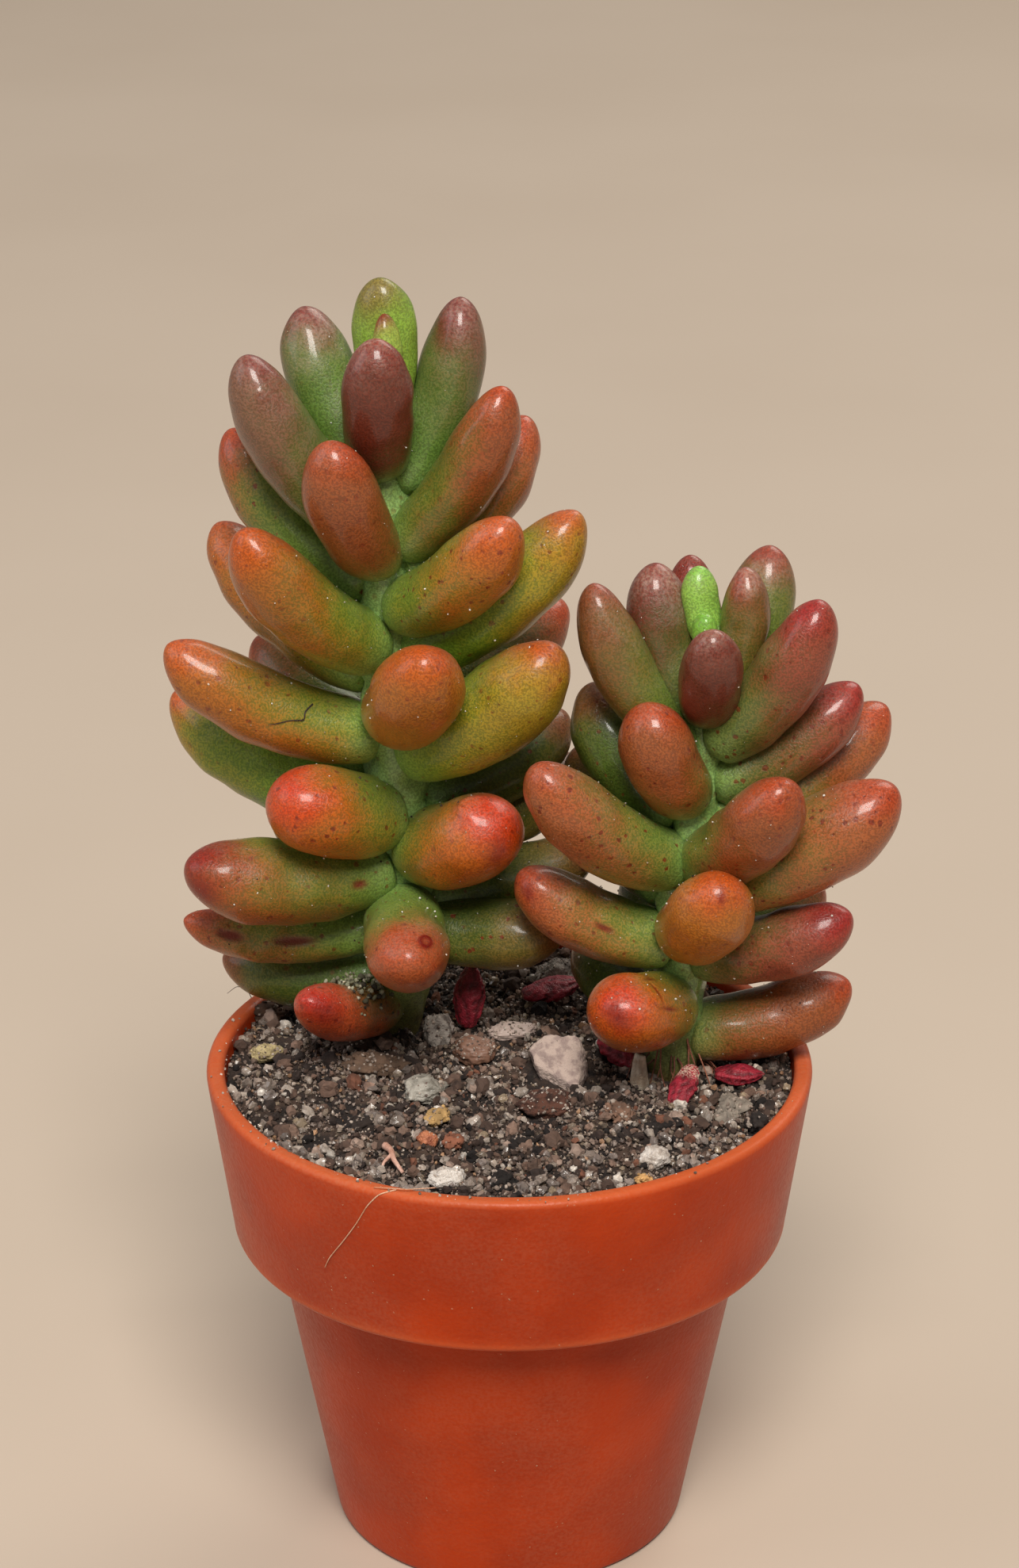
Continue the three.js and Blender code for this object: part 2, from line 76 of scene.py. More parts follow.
@dataclass
class Surface:
    """A surface in millimetres, with values that change from point to point.

    Attributes:
        points: (n, 3) places.
        quads: (m, 4) point numbers of the four-sided faces.
        tris: (k, 3) point numbers of the three-sided faces.
        values: named numbers (n,) or colours (n, 3), one for each point.
    """

    points: np.ndarray
    quads: np.ndarray = field(default_factory=lambda: np.zeros((0, 4), int))
    tris: np.ndarray = field(default_factory=lambda: np.zeros((0, 3), int))
    values: dict[str, np.ndarray] = field(default_factory=dict)

    def painted(self, **values: float | np.ndarray) -> "Surface":
        """Give the surface values by name.

        Args:
            values: one number or colour for all points, or an array with one for each.

        Returns:
            The same surface.
        """
        for name, value in values.items():
            array = np.asarray(value, float)
            if array.shape[:1] != self.points.shape[:1]:
                array = np.broadcast_to(array, (len(self.points), *array.shape))
            self.values[name] = array
        return self

    def make(
        self, name: str, material: bpy.types.Material, smooth: bool = True
    ) -> bpy.types.Object:
        """Make the Blender object, in metres, at the origin.

        Args:
            name: name of the object and its mesh.
            material: its finish.
            smooth: whether the faces are shaded smooth.

        Returns:
            The new object, linked to the scene.
        """
        mesh = bpy.data.meshes.new(name)
        corners = np.concatenate([self.quads.ravel(), self.tris.ravel()]).astype(np.int32)
        sides = np.concatenate([np.full(len(self.quads), 4), np.full(len(self.tris), 3)])
        starts = np.concatenate([[0], np.cumsum(sides)[:-1]]).astype(np.int32)
        mesh.vertices.add(len(self.points))
        mesh.vertices.foreach_set("co", (self.points * MM).astype(np.float32).ravel())
        mesh.loops.add(len(corners))
        mesh.loops.foreach_set("vertex_index", corners)
        mesh.polygons.add(len(sides))
        mesh.polygons.foreach_set("loop_start", starts)
        mesh.update(calc_edges=True)
        mesh.validate()
        for key, value in self.values.items():
            flat = value.ndim == 1
            layer = mesh.attributes.new(key, "FLOAT" if flat else "FLOAT_COLOR", "POINT")
            if flat:
                layer.data.foreach_set("value", value.astype(np.float32))
            else:
                opaque = np.concatenate([value, np.ones((len(value), 1))], axis=1)
                layer.data.foreach_set("color", opaque.astype(np.float32).ravel())
        mesh.polygons.foreach_set("use_smooth", np.full(len(sides), smooth))
        mesh.materials.append(material)
        piece = bpy.data.objects.new(name, mesh)
        bpy.context.scene.collection.objects.link(piece)
        return piece


def joined(surfaces: list[Surface]) -> Surface:
    """Join surfaces that carry the same named values into one."""
    offsets = np.cumsum([0] + [len(s.points) for s in surfaces[:-1]])
    return Surface(
        np.concatenate([s.points for s in surfaces]),
        np.concatenate([s.quads + o for s, o in zip(surfaces, offsets)]),
        np.concatenate([s.tris + o for s, o in zip(surfaces, offsets)]),
        {key: np.concatenate([s.values[key] for s in surfaces]) for key in surfaces[0].values},
    )


def circle(sides: int) -> np.ndarray:
    """Give the points of a level circle of radius 1, as (sides, 3)."""
    angle = 2 * np.pi * np.arange(sides) / sides
    return np.stack([np.cos(angle), np.sin(angle), np.zeros(sides)], -1)


def spun(points: np.ndarray, turn: float) -> np.ndarray:
    """Turn points about +Z by an angle in degrees."""
    c, s = np.cos(np.radians(turn)), np.sin(np.radians(turn))
    return points @ np.array([[c, s, 0], [-s, c, 0], [0, 0, 1]])


def lofted(rings: np.ndarray, start: np.ndarray, end: np.ndarray) -> Surface:
    """Close a surface through rings of points, from one end point to the other.

    Args:
        rings: (rows, sides, 3) rings that turn anticlockwise seen from the end.
        start: the point that closes the first ring.
        end: the point that closes the last ring.

    Returns:
        A closed surface whose points are the start, the rings in order, and the end.
    """
    rows, sides = rings.shape[:2]
    ring = np.arange(sides)
    turned = np.roll(ring, -1)
    base = 1 + sides * np.arange(rows - 1)[:, None]
    quads = np.stack([base + ring, base + turned, base + sides + turned, base + sides + ring], -1)
    first = np.stack([np.zeros(sides, int), 1 + turned, 1 + ring], -1)
    last_base = 1 + sides * (rows - 1)
    last = np.stack([last_base + ring, last_base + turned, np.full(sides, 1 + rows * sides)], -1)
    points = np.concatenate([[start], rings.reshape(-1, 3), [end]])
    return Surface(points, quads.reshape(-1, 4), np.concatenate([first, last]))


def tube(path: np.ndarray, radii: np.ndarray, sides: int) -> Surface:
    """Draw a closed round tube along a path.

    Args:
        path: (n, 3) points.
        radii: (n,) radius at each point.
        sides: flats round the tube.

    Returns:
        The tube.
    """
    ahead = np.gradient(path, axis=0)
    ahead /= np.linalg.norm(ahead, axis=1, keepdims=True)
    seldom_met = np.array([0.31, 0.17, 0.94])
    across = np.cross(ahead, seldom_met)
    across /= np.linalg.norm(across, axis=1, keepdims=True)
    beside = np.cross(ahead, across)
    wheel = circle(sides)
    spokes = across[:, None] * wheel[:, 0, None] + beside[:, None] * wheel[:, 1, None]
    return lofted(path[:, None] + radii[:, None, None] * spokes, path[0], path[-1])


def ball(detail: int) -> Surface:
    """Make a ball of radius 1 from even triangles.

    Args:
        detail: how many times each face is split, from 1.

    Returns:
        The ball.
    """
    bm = bmesh.new()
    bmesh.ops.create_icosphere(bm, subdivisions=detail, radius=1)
    points = np.array([v.co for v in bm.verts])
    tris = np.array([[v.index for v in f.verts] for f in bm.faces])
    bm.free()
    return Surface(points, tris=tris)


def chip() -> Surface:
    """Make an octahedron of radius 1, the plainest grain."""
    corners = np.array([[1, 0, 0], [0, 1, 0], [-1, 0, 0], [0, -1, 0], [0, 0, 1], [0, 0, -1]], float)
    faces = [[i, (i + 1) % 4, 4] for i in range(4)] + [[(i + 1) % 4, i, 5] for i in range(4)]
    return Surface(corners, tris=np.array(faces))


def faceted(
    unit: Surface, headings: np.ndarray, distances: np.ndarray, worn: float, limit: float = np.inf
) -> np.ndarray:
    """Reckon how far flat sides with worn edges lie in each direction of a ball.

    Args:
        unit: ball of radius 1.
        headings: (m, 3) outward headings of the sides.
        distances: (m,) distances of the sides from the middle.
        worn: how rounded the edges are, small for sharp ones.
        limit: how far the body may reach at most.

    Returns:
        (n,) distances, one for each point of the ball.
    """
    least = 0.02
    facing = unit.points @ headings.T
    reach = np.where(facing > least, distances / np.maximum(facing, least), np.inf)
    reach = np.concatenate([reach, np.full((len(reach), 1), limit)], axis=1)
    nearest = reach.min(axis=1, keepdims=True)
    return nearest[:, 0] - worn * np.log(np.exp(-(reach - nearest) / worn).sum(axis=1))


def ripple(points: np.ndarray, wavelength: float, seed: int) -> np.ndarray:
    """Reckon smooth natural unevenness, the same each time.

    Args:
        points: (..., 3) places.
        wavelength: usual distance from bump to bump.
        seed: which unevenness.

    Returns:
        One value for each place, spread round 0 and seldom beyond -2 and 2.
    """
    waves = 14
    rng = np.random.default_rng(seed)
    headings = rng.normal(size=(waves, 3))
    headings /= np.linalg.norm(headings, axis=1, keepdims=True)
    headings *= 2 * np.pi / (wavelength * rng.uniform(0.65, 1.6, (waves, 1)))
    phases = rng.uniform(0, 2 * np.pi, waves)
    flat = points.reshape(-1, 3)
    total = np.zeros(len(flat))
    for heading, phase in zip(headings, phases):
        total += np.sin(flat @ heading + phase)
    return (total / np.sqrt(waves / 2)).reshape(points.shape[:-1])


def turns(rng: np.random.Generator, count: int) -> np.ndarray:
    """Draw turns that face every way.

    Args:
        rng: source of chance.
        count: how many.

    Returns:
        (count, 3, 3) rotation matrices.
    """
    w, x, y, z = rng.normal(size=(4, count))
    size = np.sqrt(w * w + x * x + y * y + z * z)
    w, x, y, z = w / size, x / size, y / size, z / size
    rows = [
        [1 - 2 * (y * y + z * z), 2 * (x * y - z * w), 2 * (x * z + y * w)],
        [2 * (x * y + z * w), 1 - 2 * (x * x + z * z), 2 * (y * z - x * w)],
        [2 * (x * z - y * w), 2 * (y * z + x * w), 1 - 2 * (x * x + y * y)],
    ]
    return np.array(rows).transpose(2, 0, 1)


def grains(
    rng: np.random.Generator,
    centres: np.ndarray,
    radii: np.ndarray,
    tints: dict[str, float],
    unit: Surface,
) -> Surface:
    """Build broken grains, each turned and shaped its own way.

    Args:
        rng: source of chance.
        centres: (n, 3) middles.
        radii: (n,) sizes.
        tints: share of each colour.
        unit: body that each is broken from.

    Returns:
        The grains, each with its own "tint".
    """
    count, corners = len(centres), len(unit.points)
    broken = rng.uniform(0.66, 1.16, (count, corners, 1))
    shape = rng.uniform(0.6, 1.2, (count, 1, 3))
    points = unit.points * broken * shape * radii[:, None, None]
    points = np.einsum("nij,nkj->nki", turns(rng, count), points) + centres[:, None]
    tris = unit.tris + corners * np.arange(count)[:, None, None]
    palette = np.array([paint(code)[:3] for code in tints])
    shares = np.array(list(tints.values())) / sum(tints.values())
    chosen = palette[rng.choice(len(palette), count, p=shares)] * rng.uniform(0.8, 1.2, (count, 1))
    made = Surface(points.reshape(-1, 3), tris=tris.reshape(-1, 3))
    return made.painted(tint=np.repeat(np.clip(chosen, 0, 1), corners, axis=0))


def strand(corners: list[Spot], thick: float, thin: float, steps: int = 26) -> Surface:
    """Draw a thin strand that passes close to its corners.

    Args:
        corners: points along it.
        thick: radius at its start.
        thin: radius at its end.
        steps: how many points it is made of.

    Returns:
        The closed strand.
    """
    at = np.linspace(0, len(corners) - 1, steps)
    path = np.stack([np.interp(at, range(len(corners)), line) for line in zip(*corners)], -1)
    for _ in range(3):
        path[1:-1] = (path[:-2] + 2 * path[1:-1] + path[2:]) / 4
    return tube(path, np.linspace(thick, thin, steps), STRAND_SIDES)


# ---- Shader nodes ----------------------------------------------------------------------------

Socket = bpy.types.NodeSocket
Value = float | tuple | Socket
Inputs = dict[str | int, Value]


@dataclass(frozen=True)
class Glow:
    """Light that goes a little way into a surface.

    Attributes:
        weight: how much of it does, from 0 to 1.
        radius: how far its red, green and blue go, for a scale of 1.
        scale: in metres.
    """

    weight: float
    radius: Spot
    scale: float


@dataclass
class Board:
    """Places the nodes of one tree and joins their sockets.

    Attributes:
        tree: the node tree of a material or a group.
    """

    tree: bpy.types.NodeTree

    def node(self, kind: str, inputs: Inputs | None = None, **settings: object) -> bpy.types.Node:
        """Place one node.

        Args:
            kind: Blender's name of the node type.
            inputs: numbers, colours or sockets for its inputs, by name or place.
            settings: its other settings.

        Returns:
            The node.
        """
        made = self.tree.nodes.new(kind)
        for name, value in settings.items():
            setattr(made, name, value)
        for name, value in (inputs or {}).items():
            if isinstance(value, Socket):
                self.tree.links.new(value, made.inputs[name])
            else:
                made.inputs[name].default_value = value
        return made

    def sum(self, operation: str, a: Value, b: Value = 0.0, c: Value = 0.0) -> Socket:
        """Reckon one sum by Blender's name of the operation."""
        return self.node("ShaderNodeMath", {0: a, 1: b, 2: c}, operation=operation).outputs[0]

    def times(self, a: Value, b: Value) -> Socket:
        """Multiply two values."""
        return self.sum("MULTIPLY", a, b)

    def line(self, a: Value, slope: Value, start: Value) -> Socket:
        """Multiply a value by a slope and add a start."""
        return self.sum("MULTIPLY_ADD", a, slope, start)

    def capped(self, a: Value, b: Value) -> Socket:
        """Multiply two values and keep the result between 0 and 1."""
        made = self.node("ShaderNodeMath", {0: a, 1: b}, operation="MULTIPLY", use_clamp=True)
        return made.outputs[0]

    def step(
        self, value: Value, start: float, end: Value, low: float = 0.0, high: float = 1.0
    ) -> Socket:
        """Rise softly from low to high as a value goes from start to end."""
        sockets = {0: value, "From Min": start, "From Max": end, "To Min": low, "To Max": high}
        made = self.node("ShaderNodeMapRange", sockets, interpolation_type="SMOOTHSTEP")
        return made.outputs["Result"]

    def blend(self, share: Value, a: Value, b: Value, how: str = "MIX") -> Socket:
        """Blend two colours.

        Args:
            share: how much of the second, from 0 to 1.
            a: first colour.
            b: second colour.
            how: Blender's name of the way to blend.

        Returns:
            The colour.
        """
        made = self.node("ShaderNodeMix", data_type="RGBA", blend_type=how)
        for name, value in (("Factor_Float", share), ("A_Color", a), ("B_Color", b)):
            socket = next(s for s in made.inputs if s.identifier == name)
            if isinstance(value, Socket):
                self.tree.links.new(value, socket)
            else:
                socket.default_value = value
        return next(s for s in made.outputs if s.identifier == "Result_Color")

    def shaded(self, colour: Value, level: Socket) -> Socket:
        """Multiply a colour by a level of light."""
        grey = self.node("ShaderNodeCombineColor", {0: level, 1: level, 2: level})
        return self.blend(1.0, colour, grey.outputs["Color"], "MULTIPLY")

    def place(self) -> Socket:
        """Give the place on the object in millimetres."""
        sockets = {0: self.node("ShaderNodeTexCoord").outputs["Object"], "Scale": 1 / MM}
        return self.node("ShaderNodeVectorMath", sockets, operation="SCALE").outputs["Vector"]

    def number(self, name: str) -> Socket:
        """Read a surface's named number."""
        return self.node("ShaderNodeAttribute", attribute_name=name).outputs["Fac"]

    def colour(self, name: str) -> Socket:
        """Read a surface's named colour."""
        return self.node("ShaderNodeAttribute", attribute_name=name).outputs["Color"]

    def mottle(self, cloud: Value, grain: Value) -> tuple[Socket, Socket]:
        """Place broad clouds and fine grain of these sizes in millimetres."""
        made = Effect.MOTTLE.use(self, cloud, grain)
        return made["Cloud"], made["Grain"]

    def specks(self, spacing: float, size: float, share: float) -> Socket:
        """Place spots: their spacing in millimetres, their size and how many cells have one."""
        return Effect.SPECKS.use(self, spacing, size, share)["Mask"]

    def dust(self, amount: float, patch: float, upwards: float) -> Socket:
        """Place dust: how much, its patches in millimetres, and how far it keeps to upper sides."""
        return Effect.DUST.use(self, amount, patch, upwards)["Mask"]

    def skin(
        self,
        colour: Value,
        roughness: Value,
        bumps: list[tuple[Socket, float]],
        glow: Glow | None = None,
        more: Inputs | None = None,
    ) -> None:
        """End a material in one surface shader.

        Args:
            colour: of the surface.
            roughness: of the surface.
            bumps: heights and how far each stands out, in millimetres.
            glow: light that goes into it.
            more: other inputs of the shader by name.
        """
        inputs: Inputs = {"Base Color": colour, "Roughness": roughness, **(more or {})}
        if glow:
            inputs["Subsurface Weight"] = glow.weight
            inputs["Subsurface Radius"] = glow.radius
            inputs["Subsurface Scale"] = glow.scale
        shader = self.node("ShaderNodeBsdfPrincipled", inputs)
        target = shader.inputs["Normal"]
        for height, reach in reversed(bumps):
            sockets = {"Height": height, "Strength": 1.0, "Distance": reach * MM}
            bump = self.node("ShaderNodeBump", sockets)
            self.tree.links.new(bump.outputs["Normal"], target)
            target = bump.inputs["Normal"]
        self.node("ShaderNodeOutputMaterial", {"Surface": shader.outputs["BSDF"]})


class Effect(Enum):
    """Surface effects that more than one finish uses, each one shader group."""

    MOTTLE = ("mottle", ("Cloud Size", "Grain Size"), ("Cloud", "Grain"))
    SPECKS = ("specks", ("Spacing", "Size", "Share"), ("Mask",))
    DUST = ("dust", ("Amount", "Patch Size", "Upwards"), ("Mask",))

    def use(self, board: Board, *values: Value) -> bpy.types.NodeOutputs:
        """Place the effect, after building its group the first time.

        Args:
            board: where it is placed.
            values: its inputs in order.

        Returns:
            The effect's outputs.
        """
        name, inputs, outputs = self.value
        tree = bpy.data.node_groups.get(name)
        if not tree:
            tree = bpy.data.node_groups.new(name, "ShaderNodeTree")
            for way, names in (("INPUT", inputs), ("OUTPUT", outputs)):
                for socket in names:
                    tree.interface.new_socket(socket, in_out=way, socket_type="NodeSocketFloat")
            inner = Board(tree)
            given = tree.nodes.new("NodeGroupInput").outputs
            results = getattr(self, f"_{name}")(inner, *(given[socket] for socket in inputs))
            inner.node("NodeGroupOutput", dict(zip(outputs, results)))
        return board.node("ShaderNodeGroup", dict(zip(inputs, values)), node_tree=tree).outputs

    @staticmethod
    def _mottle(board: Board, cloud: Socket, grain: Socket) -> list[Socket]:
        """Build broad clouds and fine grain, both from 0 to 1."""
        place = board.place()
        results = []
        for size, detail, start, end in ((cloud, 3.0, 0.3, 0.7), (grain, 2.0, 0.32, 0.68)):
            sockets = {"Vector": place, "Scale": board.sum("DIVIDE", 1.0, size), "Detail": detail}
            noise = board.node("ShaderNodeTexNoise", sockets)
            results.append(board.step(noise.outputs["Fac"], start, end))
        return results

    @staticmethod
    def _specks(board: Board, spacing: Socket, size: Socket, share: Socket) -> list[Socket]:
        """Build scattered spots of uneven size and outline."""
        place = board.place()
        scale = board.sum("DIVIDE", 1.0, spacing)
        finer = {"Vector": place, "Scale": board.times(scale, 2.5)}
        rough = board.node("ShaderNodeTexNoise", finer).outputs["Color"]
        shift = {0: rough, 1: board.times(spacing, 0.45), 2: place}
        ragged = board.node("ShaderNodeVectorMath", shift, operation="MULTIPLY_ADD").outputs[0]
        cells = board.node("ShaderNodeTexVoronoi", {"Vector": ragged, "Scale": scale})
        chance = board.node("ShaderNodeSeparateColor", {"Color": cells.outputs["Color"]})
        wide = board.times(size, board.sum("ADD", chance.outputs["Green"], 0.35))
        spot = board.step(cells.outputs["Distance"], board.times(wide, 0.55), wide, 1.0, 0.0)
        kept = board.sum("LESS_THAN", chance.outputs["Red"], share)
        return [board.times(spot, kept)]

    @staticmethod
    def _dust(board: Board, amount: Socket, patch: Socket, upwards: Socket) -> list[Socket]:
        """Build patchy dust that lies mostly on what faces up."""
        normal = board.node("ShaderNodeNewGeometry").outputs["Normal"]
        up = board.node("ShaderNodeSeparateXYZ", {0: normal}).outputs["Z"]
        even = board.sum("SUBTRACT", 1.0, upwards)
        lying = board.line(board.step(up, -0.2, 0.9), upwards, even)
        cloud, grain = board.mottle(patch, 0.22)
        powder = board.times(board.line(cloud, 0.8, 0.2), board.line(grain, 0.7, 0.3))
        return [board.capped(board.times(powder, lying), amount)]


# ---- Finishes --------------------------------------------------------------------------------


@dataclass(frozen=True)
class Finish:
    """One finish of the object.

    Attributes:
        name: name of its material.
        slot: name of a material slot, not used.
    """

    name: str
    slot: str

    def material(self) -> bpy.types.Material:
        """Find the finish's material, or build it the first time.

        Returns:
            The material.
        """
        found = bpy.data.materials.get(self.name)
        if found:
            return found
        made = bpy.data.materials.new(self.name)
        made.use_nodes = True
        made.node_tree.nodes.clear()
        self.lay(Board(made.node_tree))
        return made

    def lay(self, board: Board) -> None:
        """Lay out the material's nodes."""
        raise NotImplementedError


@dataclass(frozen=True)
class Moulding(Finish):
    """Thin terracotta-coloured plastic, handled, a little dusty, with a painted rim highlight."""

    body: Colour = paint("b23705")
    deep: Colour = paint("8e2606")
    # lighter colour: rubbed collar edge, and a painted highlight on the rim
    worn: Colour = paint("cf6a3d")
    dust: Colour = paint("c39a7c")

    def lay(self, board: Board) -> None:
        """Lay out the plastic's nodes."""
        cloud, grain = board.mottle(7.0, 0.35)
        film = board.dust(0.3, 9.0, 0.35)
        spots = board.times(board.specks(0.45, 0.14, 0.26), board.step(cloud, 0.15, 0.9))
        colour = board.blend(board.times(cloud, 0.6), self.body, self.deep)
        # lighter colour on the rubbed collar edge, and a painted highlight along the rim's top
        colour = board.blend(board.times(board.number("wear"), 0.55), colour, self.worn)
        colour = board.blend(board.times(film, 0.55), colour, self.dust)
        colour = board.blend(board.times(spots, 0.7), colour, self.dust)
        rough = board.line(grain, 0.08, board.line(film, 0.4, 0.3))
        glow = Glow(0.12, (1.0, 0.35, 0.15), 0.0008)
        bumps = [(grain, 0.012), (spots, 0.03)]
        board.skin(colour, rough, bumps, glow, {"Specular IOR Level": 0.15})


@dataclass(frozen=True)
class LeafSkin(Finish):
    """Taut waxy skin that turns from green to the leaf's own sun colours."""

    pale: Colour = paint("8cb062")
    freckle: Colour = paint("6e1c06")
    pore: Colour = paint("3a2a12")
    scar: Colour = paint("6e1710")
    # pale waxy film, also a painted highlight on the upper side of the tips
    bloom: Colour = paint("c0a898")
    dust: Colour = paint("d2c4b0")

    def _sunned(self, board: Board, along: Socket, cloud: Socket, grain: Socket) -> Socket:
        """Lay out the skin's plain colours.

        Args:
            board: the skin's nodes.
            along: place from the stem to the tip, from 0 to 1.
            cloud: broad unevenness.
            grain: fine unevenness.

        Returns:
            The colour, green at the stem and ripe at the tip.
        """
        under = board.number("under")
        ripe = board.line(under, 0.2, board.sum("ADD", along, board.number("blush")))
        ripe = board.sum("ADD", ripe, board.line(cloud, 0.26, -0.13))
        ripe = board.sum("ADD", ripe, board.line(grain, 0.22, -0.11))
        tip = board.line(cloud, 0.12, board.line(under, -0.05, along))
        warm = board.step(ripe, 0.52, 1.42)
        colour = board.blend(warm, board.colour("base"), board.colour("body"))
        colour = board.blend(board.step(tip, 0.8, 1.1), colour, board.colour("tip"))
        return board.blend(board.step(along, 0.0, 0.25, 0.5, 0.0), colour, self.pale)

    def lay(self, board: Board) -> None:
        """Lay out the skin's nodes."""
        along = board.number("along")
        cloud, grain = board.mottle(3.2, 0.14)
        freckles = board.times(board.specks(0.62, 0.3, 0.55), board.number("freckles"))
        pores = board.specks(0.24, 0.11, 0.5)
        # painted highlight: a pale film on upward faces towards the tips, mixed with the young
        # leaves' waxy film
        film = board.times(board.number("bloom"), board.step(along, 0.45, 0.9, 0.5, 1.0))
        bloomed = board.capped(board.dust(1.0, 2.6, 0.9), film)
        drifts = board.times(board.number("dust"), board.step(cloud, 0.35, 0.75, 0.2, 1.0))
        dusty = board.times(board.specks(0.26, 0.11, 0.45), drifts)
        colour = self._sunned(board, along, cloud, grain)
        colour = board.blend(board.times(freckles, 0.85), colour, self.freckle)
        colour = board.blend(board.times(pores, 0.5), colour, self.pore)
        colour = board.shaded(colour, board.step(grain, 0.15, 0.85, 0.76, 1.18))
        colour = board.blend(bloomed, colour, self.bloom)
        colour = board.blend(board.times(dusty, 0.75), colour, self.dust)
        colour = board.blend(board.number("scar"), colour, self.scar)
        rough = board.line(grain, 0.1, board.line(bloomed, 0.2, 0.34))
        more = {
            "Specular IOR Level": 0.28,
            "Coat Weight": board.line(board.number("dust"), -0.28, 0.55),
            "Coat Roughness": 0.13,
        }
        bumps = [(grain, 0.014), (pores, -0.012), (dusty, 0.05), (freckles, -0.02)]
        board.skin(colour, rough, bumps, Glow(0.3, (1.0, 0.5, 0.2), 0.001), more)


@dataclass(frozen=True)
class Earth(Finish):
    """Peaty potting mix, with painted shade where it is hollow."""

    # colour of the painted shade in the bed's hollows
    dark: Colour = paint("1e1613")
    peat: Colour = paint("4a382d")
    sand: Colour = paint("a08c76")

    def lay(self, board: Board) -> None:
        """Lay out the mix's nodes."""
        cloud, grain = board.mottle(2.2, 0.25)
        specks = board.specks(0.42, 0.5, 0.4)
        raised = board.step(board.number("raised"), 0.0, 1.0)
        # painted shade: the low parts of the bed take the dark colour
        colour = board.blend(board.times(raised, cloud), self.dark, self.peat)
        colour = board.blend(board.times(specks, board.line(raised, 0.6, 0.1)), colour, self.sand)
        board.skin(colour, board.line(grain, -0.1, 0.95), [(grain, 0.08), (specks, 0.12)])


@dataclass(frozen=True)
class Grit(Finish):
    """Loose grains, each of its own colour.

    Attributes:
        roughness: of the grains' faces.
        glow: how much light goes into them.
        grain: size of the grain of their faces, in millimetres.
    """

    roughness: float = 0.8
    glow: float = 0.0
    grain: float = 0.15

    def lay(self, board: Board) -> None:
        """Lay out the grains' nodes."""
        cloud, grain = board.mottle(4 * self.grain, self.grain)
        colour = board.shaded(board.colour("tint"), board.step(cloud, 0.0, 1.0, 0.66, 1.1))
        rough = board.line(grain, 0.15, self.roughness - 0.08)
        board.skin(colour, rough, [(grain, 0.02)], Glow(self.glow, (1.0, 0.9, 0.8), 0.0003))


@dataclass(frozen=True)
class Rock(Finish):
    """Broken stone with pits and grains in it.

    Attributes:
        light: colour of its faces.
        dark: colour of its veins and hollows.
        fleck: colour of its pores.
        roughness: of its faces.
        pits: depth of its pores, in millimetres.
        glass: how much light goes into it.
    """

    light: Colour
    dark: Colour
    fleck: Colour
    roughness: float = 0.8
    pits: float = 0.06
    glass: float = 0.0

    def lay(self, board: Board) -> None:
        """Lay out the stone's nodes."""
        cloud, grain = board.mottle(0.8, 0.12)
        pits = board.specks(0.26, 0.16, 0.45)
        colour = board.blend(board.step(cloud, 0.35, 0.95), self.light, self.dark)
        colour = board.blend(board.times(pits, 0.5), colour, self.fleck)
        colour = board.blend(board.times(grain, 0.25), colour, self.light)
        rough = board.line(grain, 0.1, self.roughness - 0.05)
        glow = Glow(self.glass, (1.0, 0.95, 0.9), 0.0006)
        board.skin(colour, rough, [(grain, 0.03), (pits, -self.pits)], glow)


@dataclass(frozen=True)
class DryLeaf(Finish):
    """The shrunken red skin of a fallen leaf, with painted shade in its furrows."""

    red: Colour = paint("a42638")
    # dark colour of its mottling, and of the painted shade in its furrows
    maroon: Colour = paint("5e121c")
    husk: Colour = paint("c9a594")

    def lay(self, board: Board) -> None:
        """Lay out the dry skin's nodes."""
        cloud, grain = board.mottle(1.6, 0.12)
        # painted shade: the furrows between the folds take the darker maroon
        hollow = board.step(board.number("ridge"), -1.5, 0.9)
        colour = board.blend(hollow, self.maroon, self.red)
        colour = board.blend(board.times(cloud, 0.5), colour, self.maroon)
        papery = board.times(board.number("husk"), board.step(grain, 0.1, 0.9))
        colour = board.blend(papery, colour, self.husk)
        glow = Glow(0.25, (1.0, 0.2, 0.15), 0.0005)
        board.skin(colour, board.line(grain, 0.25, 0.38), [(grain, 0.03)], glow)


@dataclass(frozen=True)
class Fibre(Finish):
    """Dry root or plant fibre.

    Attributes:
        pale: colour of its ridges.
        brown: colour between them.
    """

    pale: Colour = paint("e6d6c0")
    brown: Colour = paint("b0947a")

    def lay(self, board: Board) -> None:
        """Lay out the fibre's nodes."""
        cloud, grain = board.mottle(0.9, 0.1)
        colour = board.blend(cloud, self.pale, self.brown)
        board.skin(colour, board.line(grain, 0.2, 0.6), [(grain, 0.03)])


@dataclass(frozen=True)
class Tabletop(Finish):
    """The plain pale floor."""

    pale: Colour = paint("bcad9d")
    soft: Colour = paint("b2a291")

    def lay(self, board: Board) -> None:
        """Lay out the floor's nodes."""
        cloud, _ = board.mottle(90.0, 2.0)
        board.skin(board.blend(board.times(cloud, 0.35), self.pale, self.soft), 0.7, [])


TERRACOTTA = Moulding("terracotta_plastic", "pot_plastic")
SKIN = LeafSkin("leaf_skin", "leaf")
MIX = Earth("peaty_mix", "potting_soil")
PEAT_CRUMBS = Grit("peat_crumbs", "potting_soil", roughness=0.95, grain=0.2)
SAND = Grit("sand_grains", "pale_stone", roughness=0.6)
QUARTZ = Grit("quartz_grains", "pale_stone", roughness=0.22, glow=0.35, grain=0.3)
RED_HUSK = DryLeaf("dry_leaf_skin", "dry_leaf")
ROOT_BARK = Fibre("root_bark", "root_wood")
ROOTLET = Fibre("rootlet", "root_wood", paint("9c6048"), paint("5c3226"))
LOOSE_ROOT = Fibre("loose_root", "root_wood", paint("e4bcab"), paint("b98772"))
FINE_FIBRE = Fibre("fine_fibre", "root_wood", paint("e0b596"), paint("c48a66"))
DARK_HAIR = Fibre("dark_hair", "root_wood", paint("3a2a22"), paint("1f1612"))


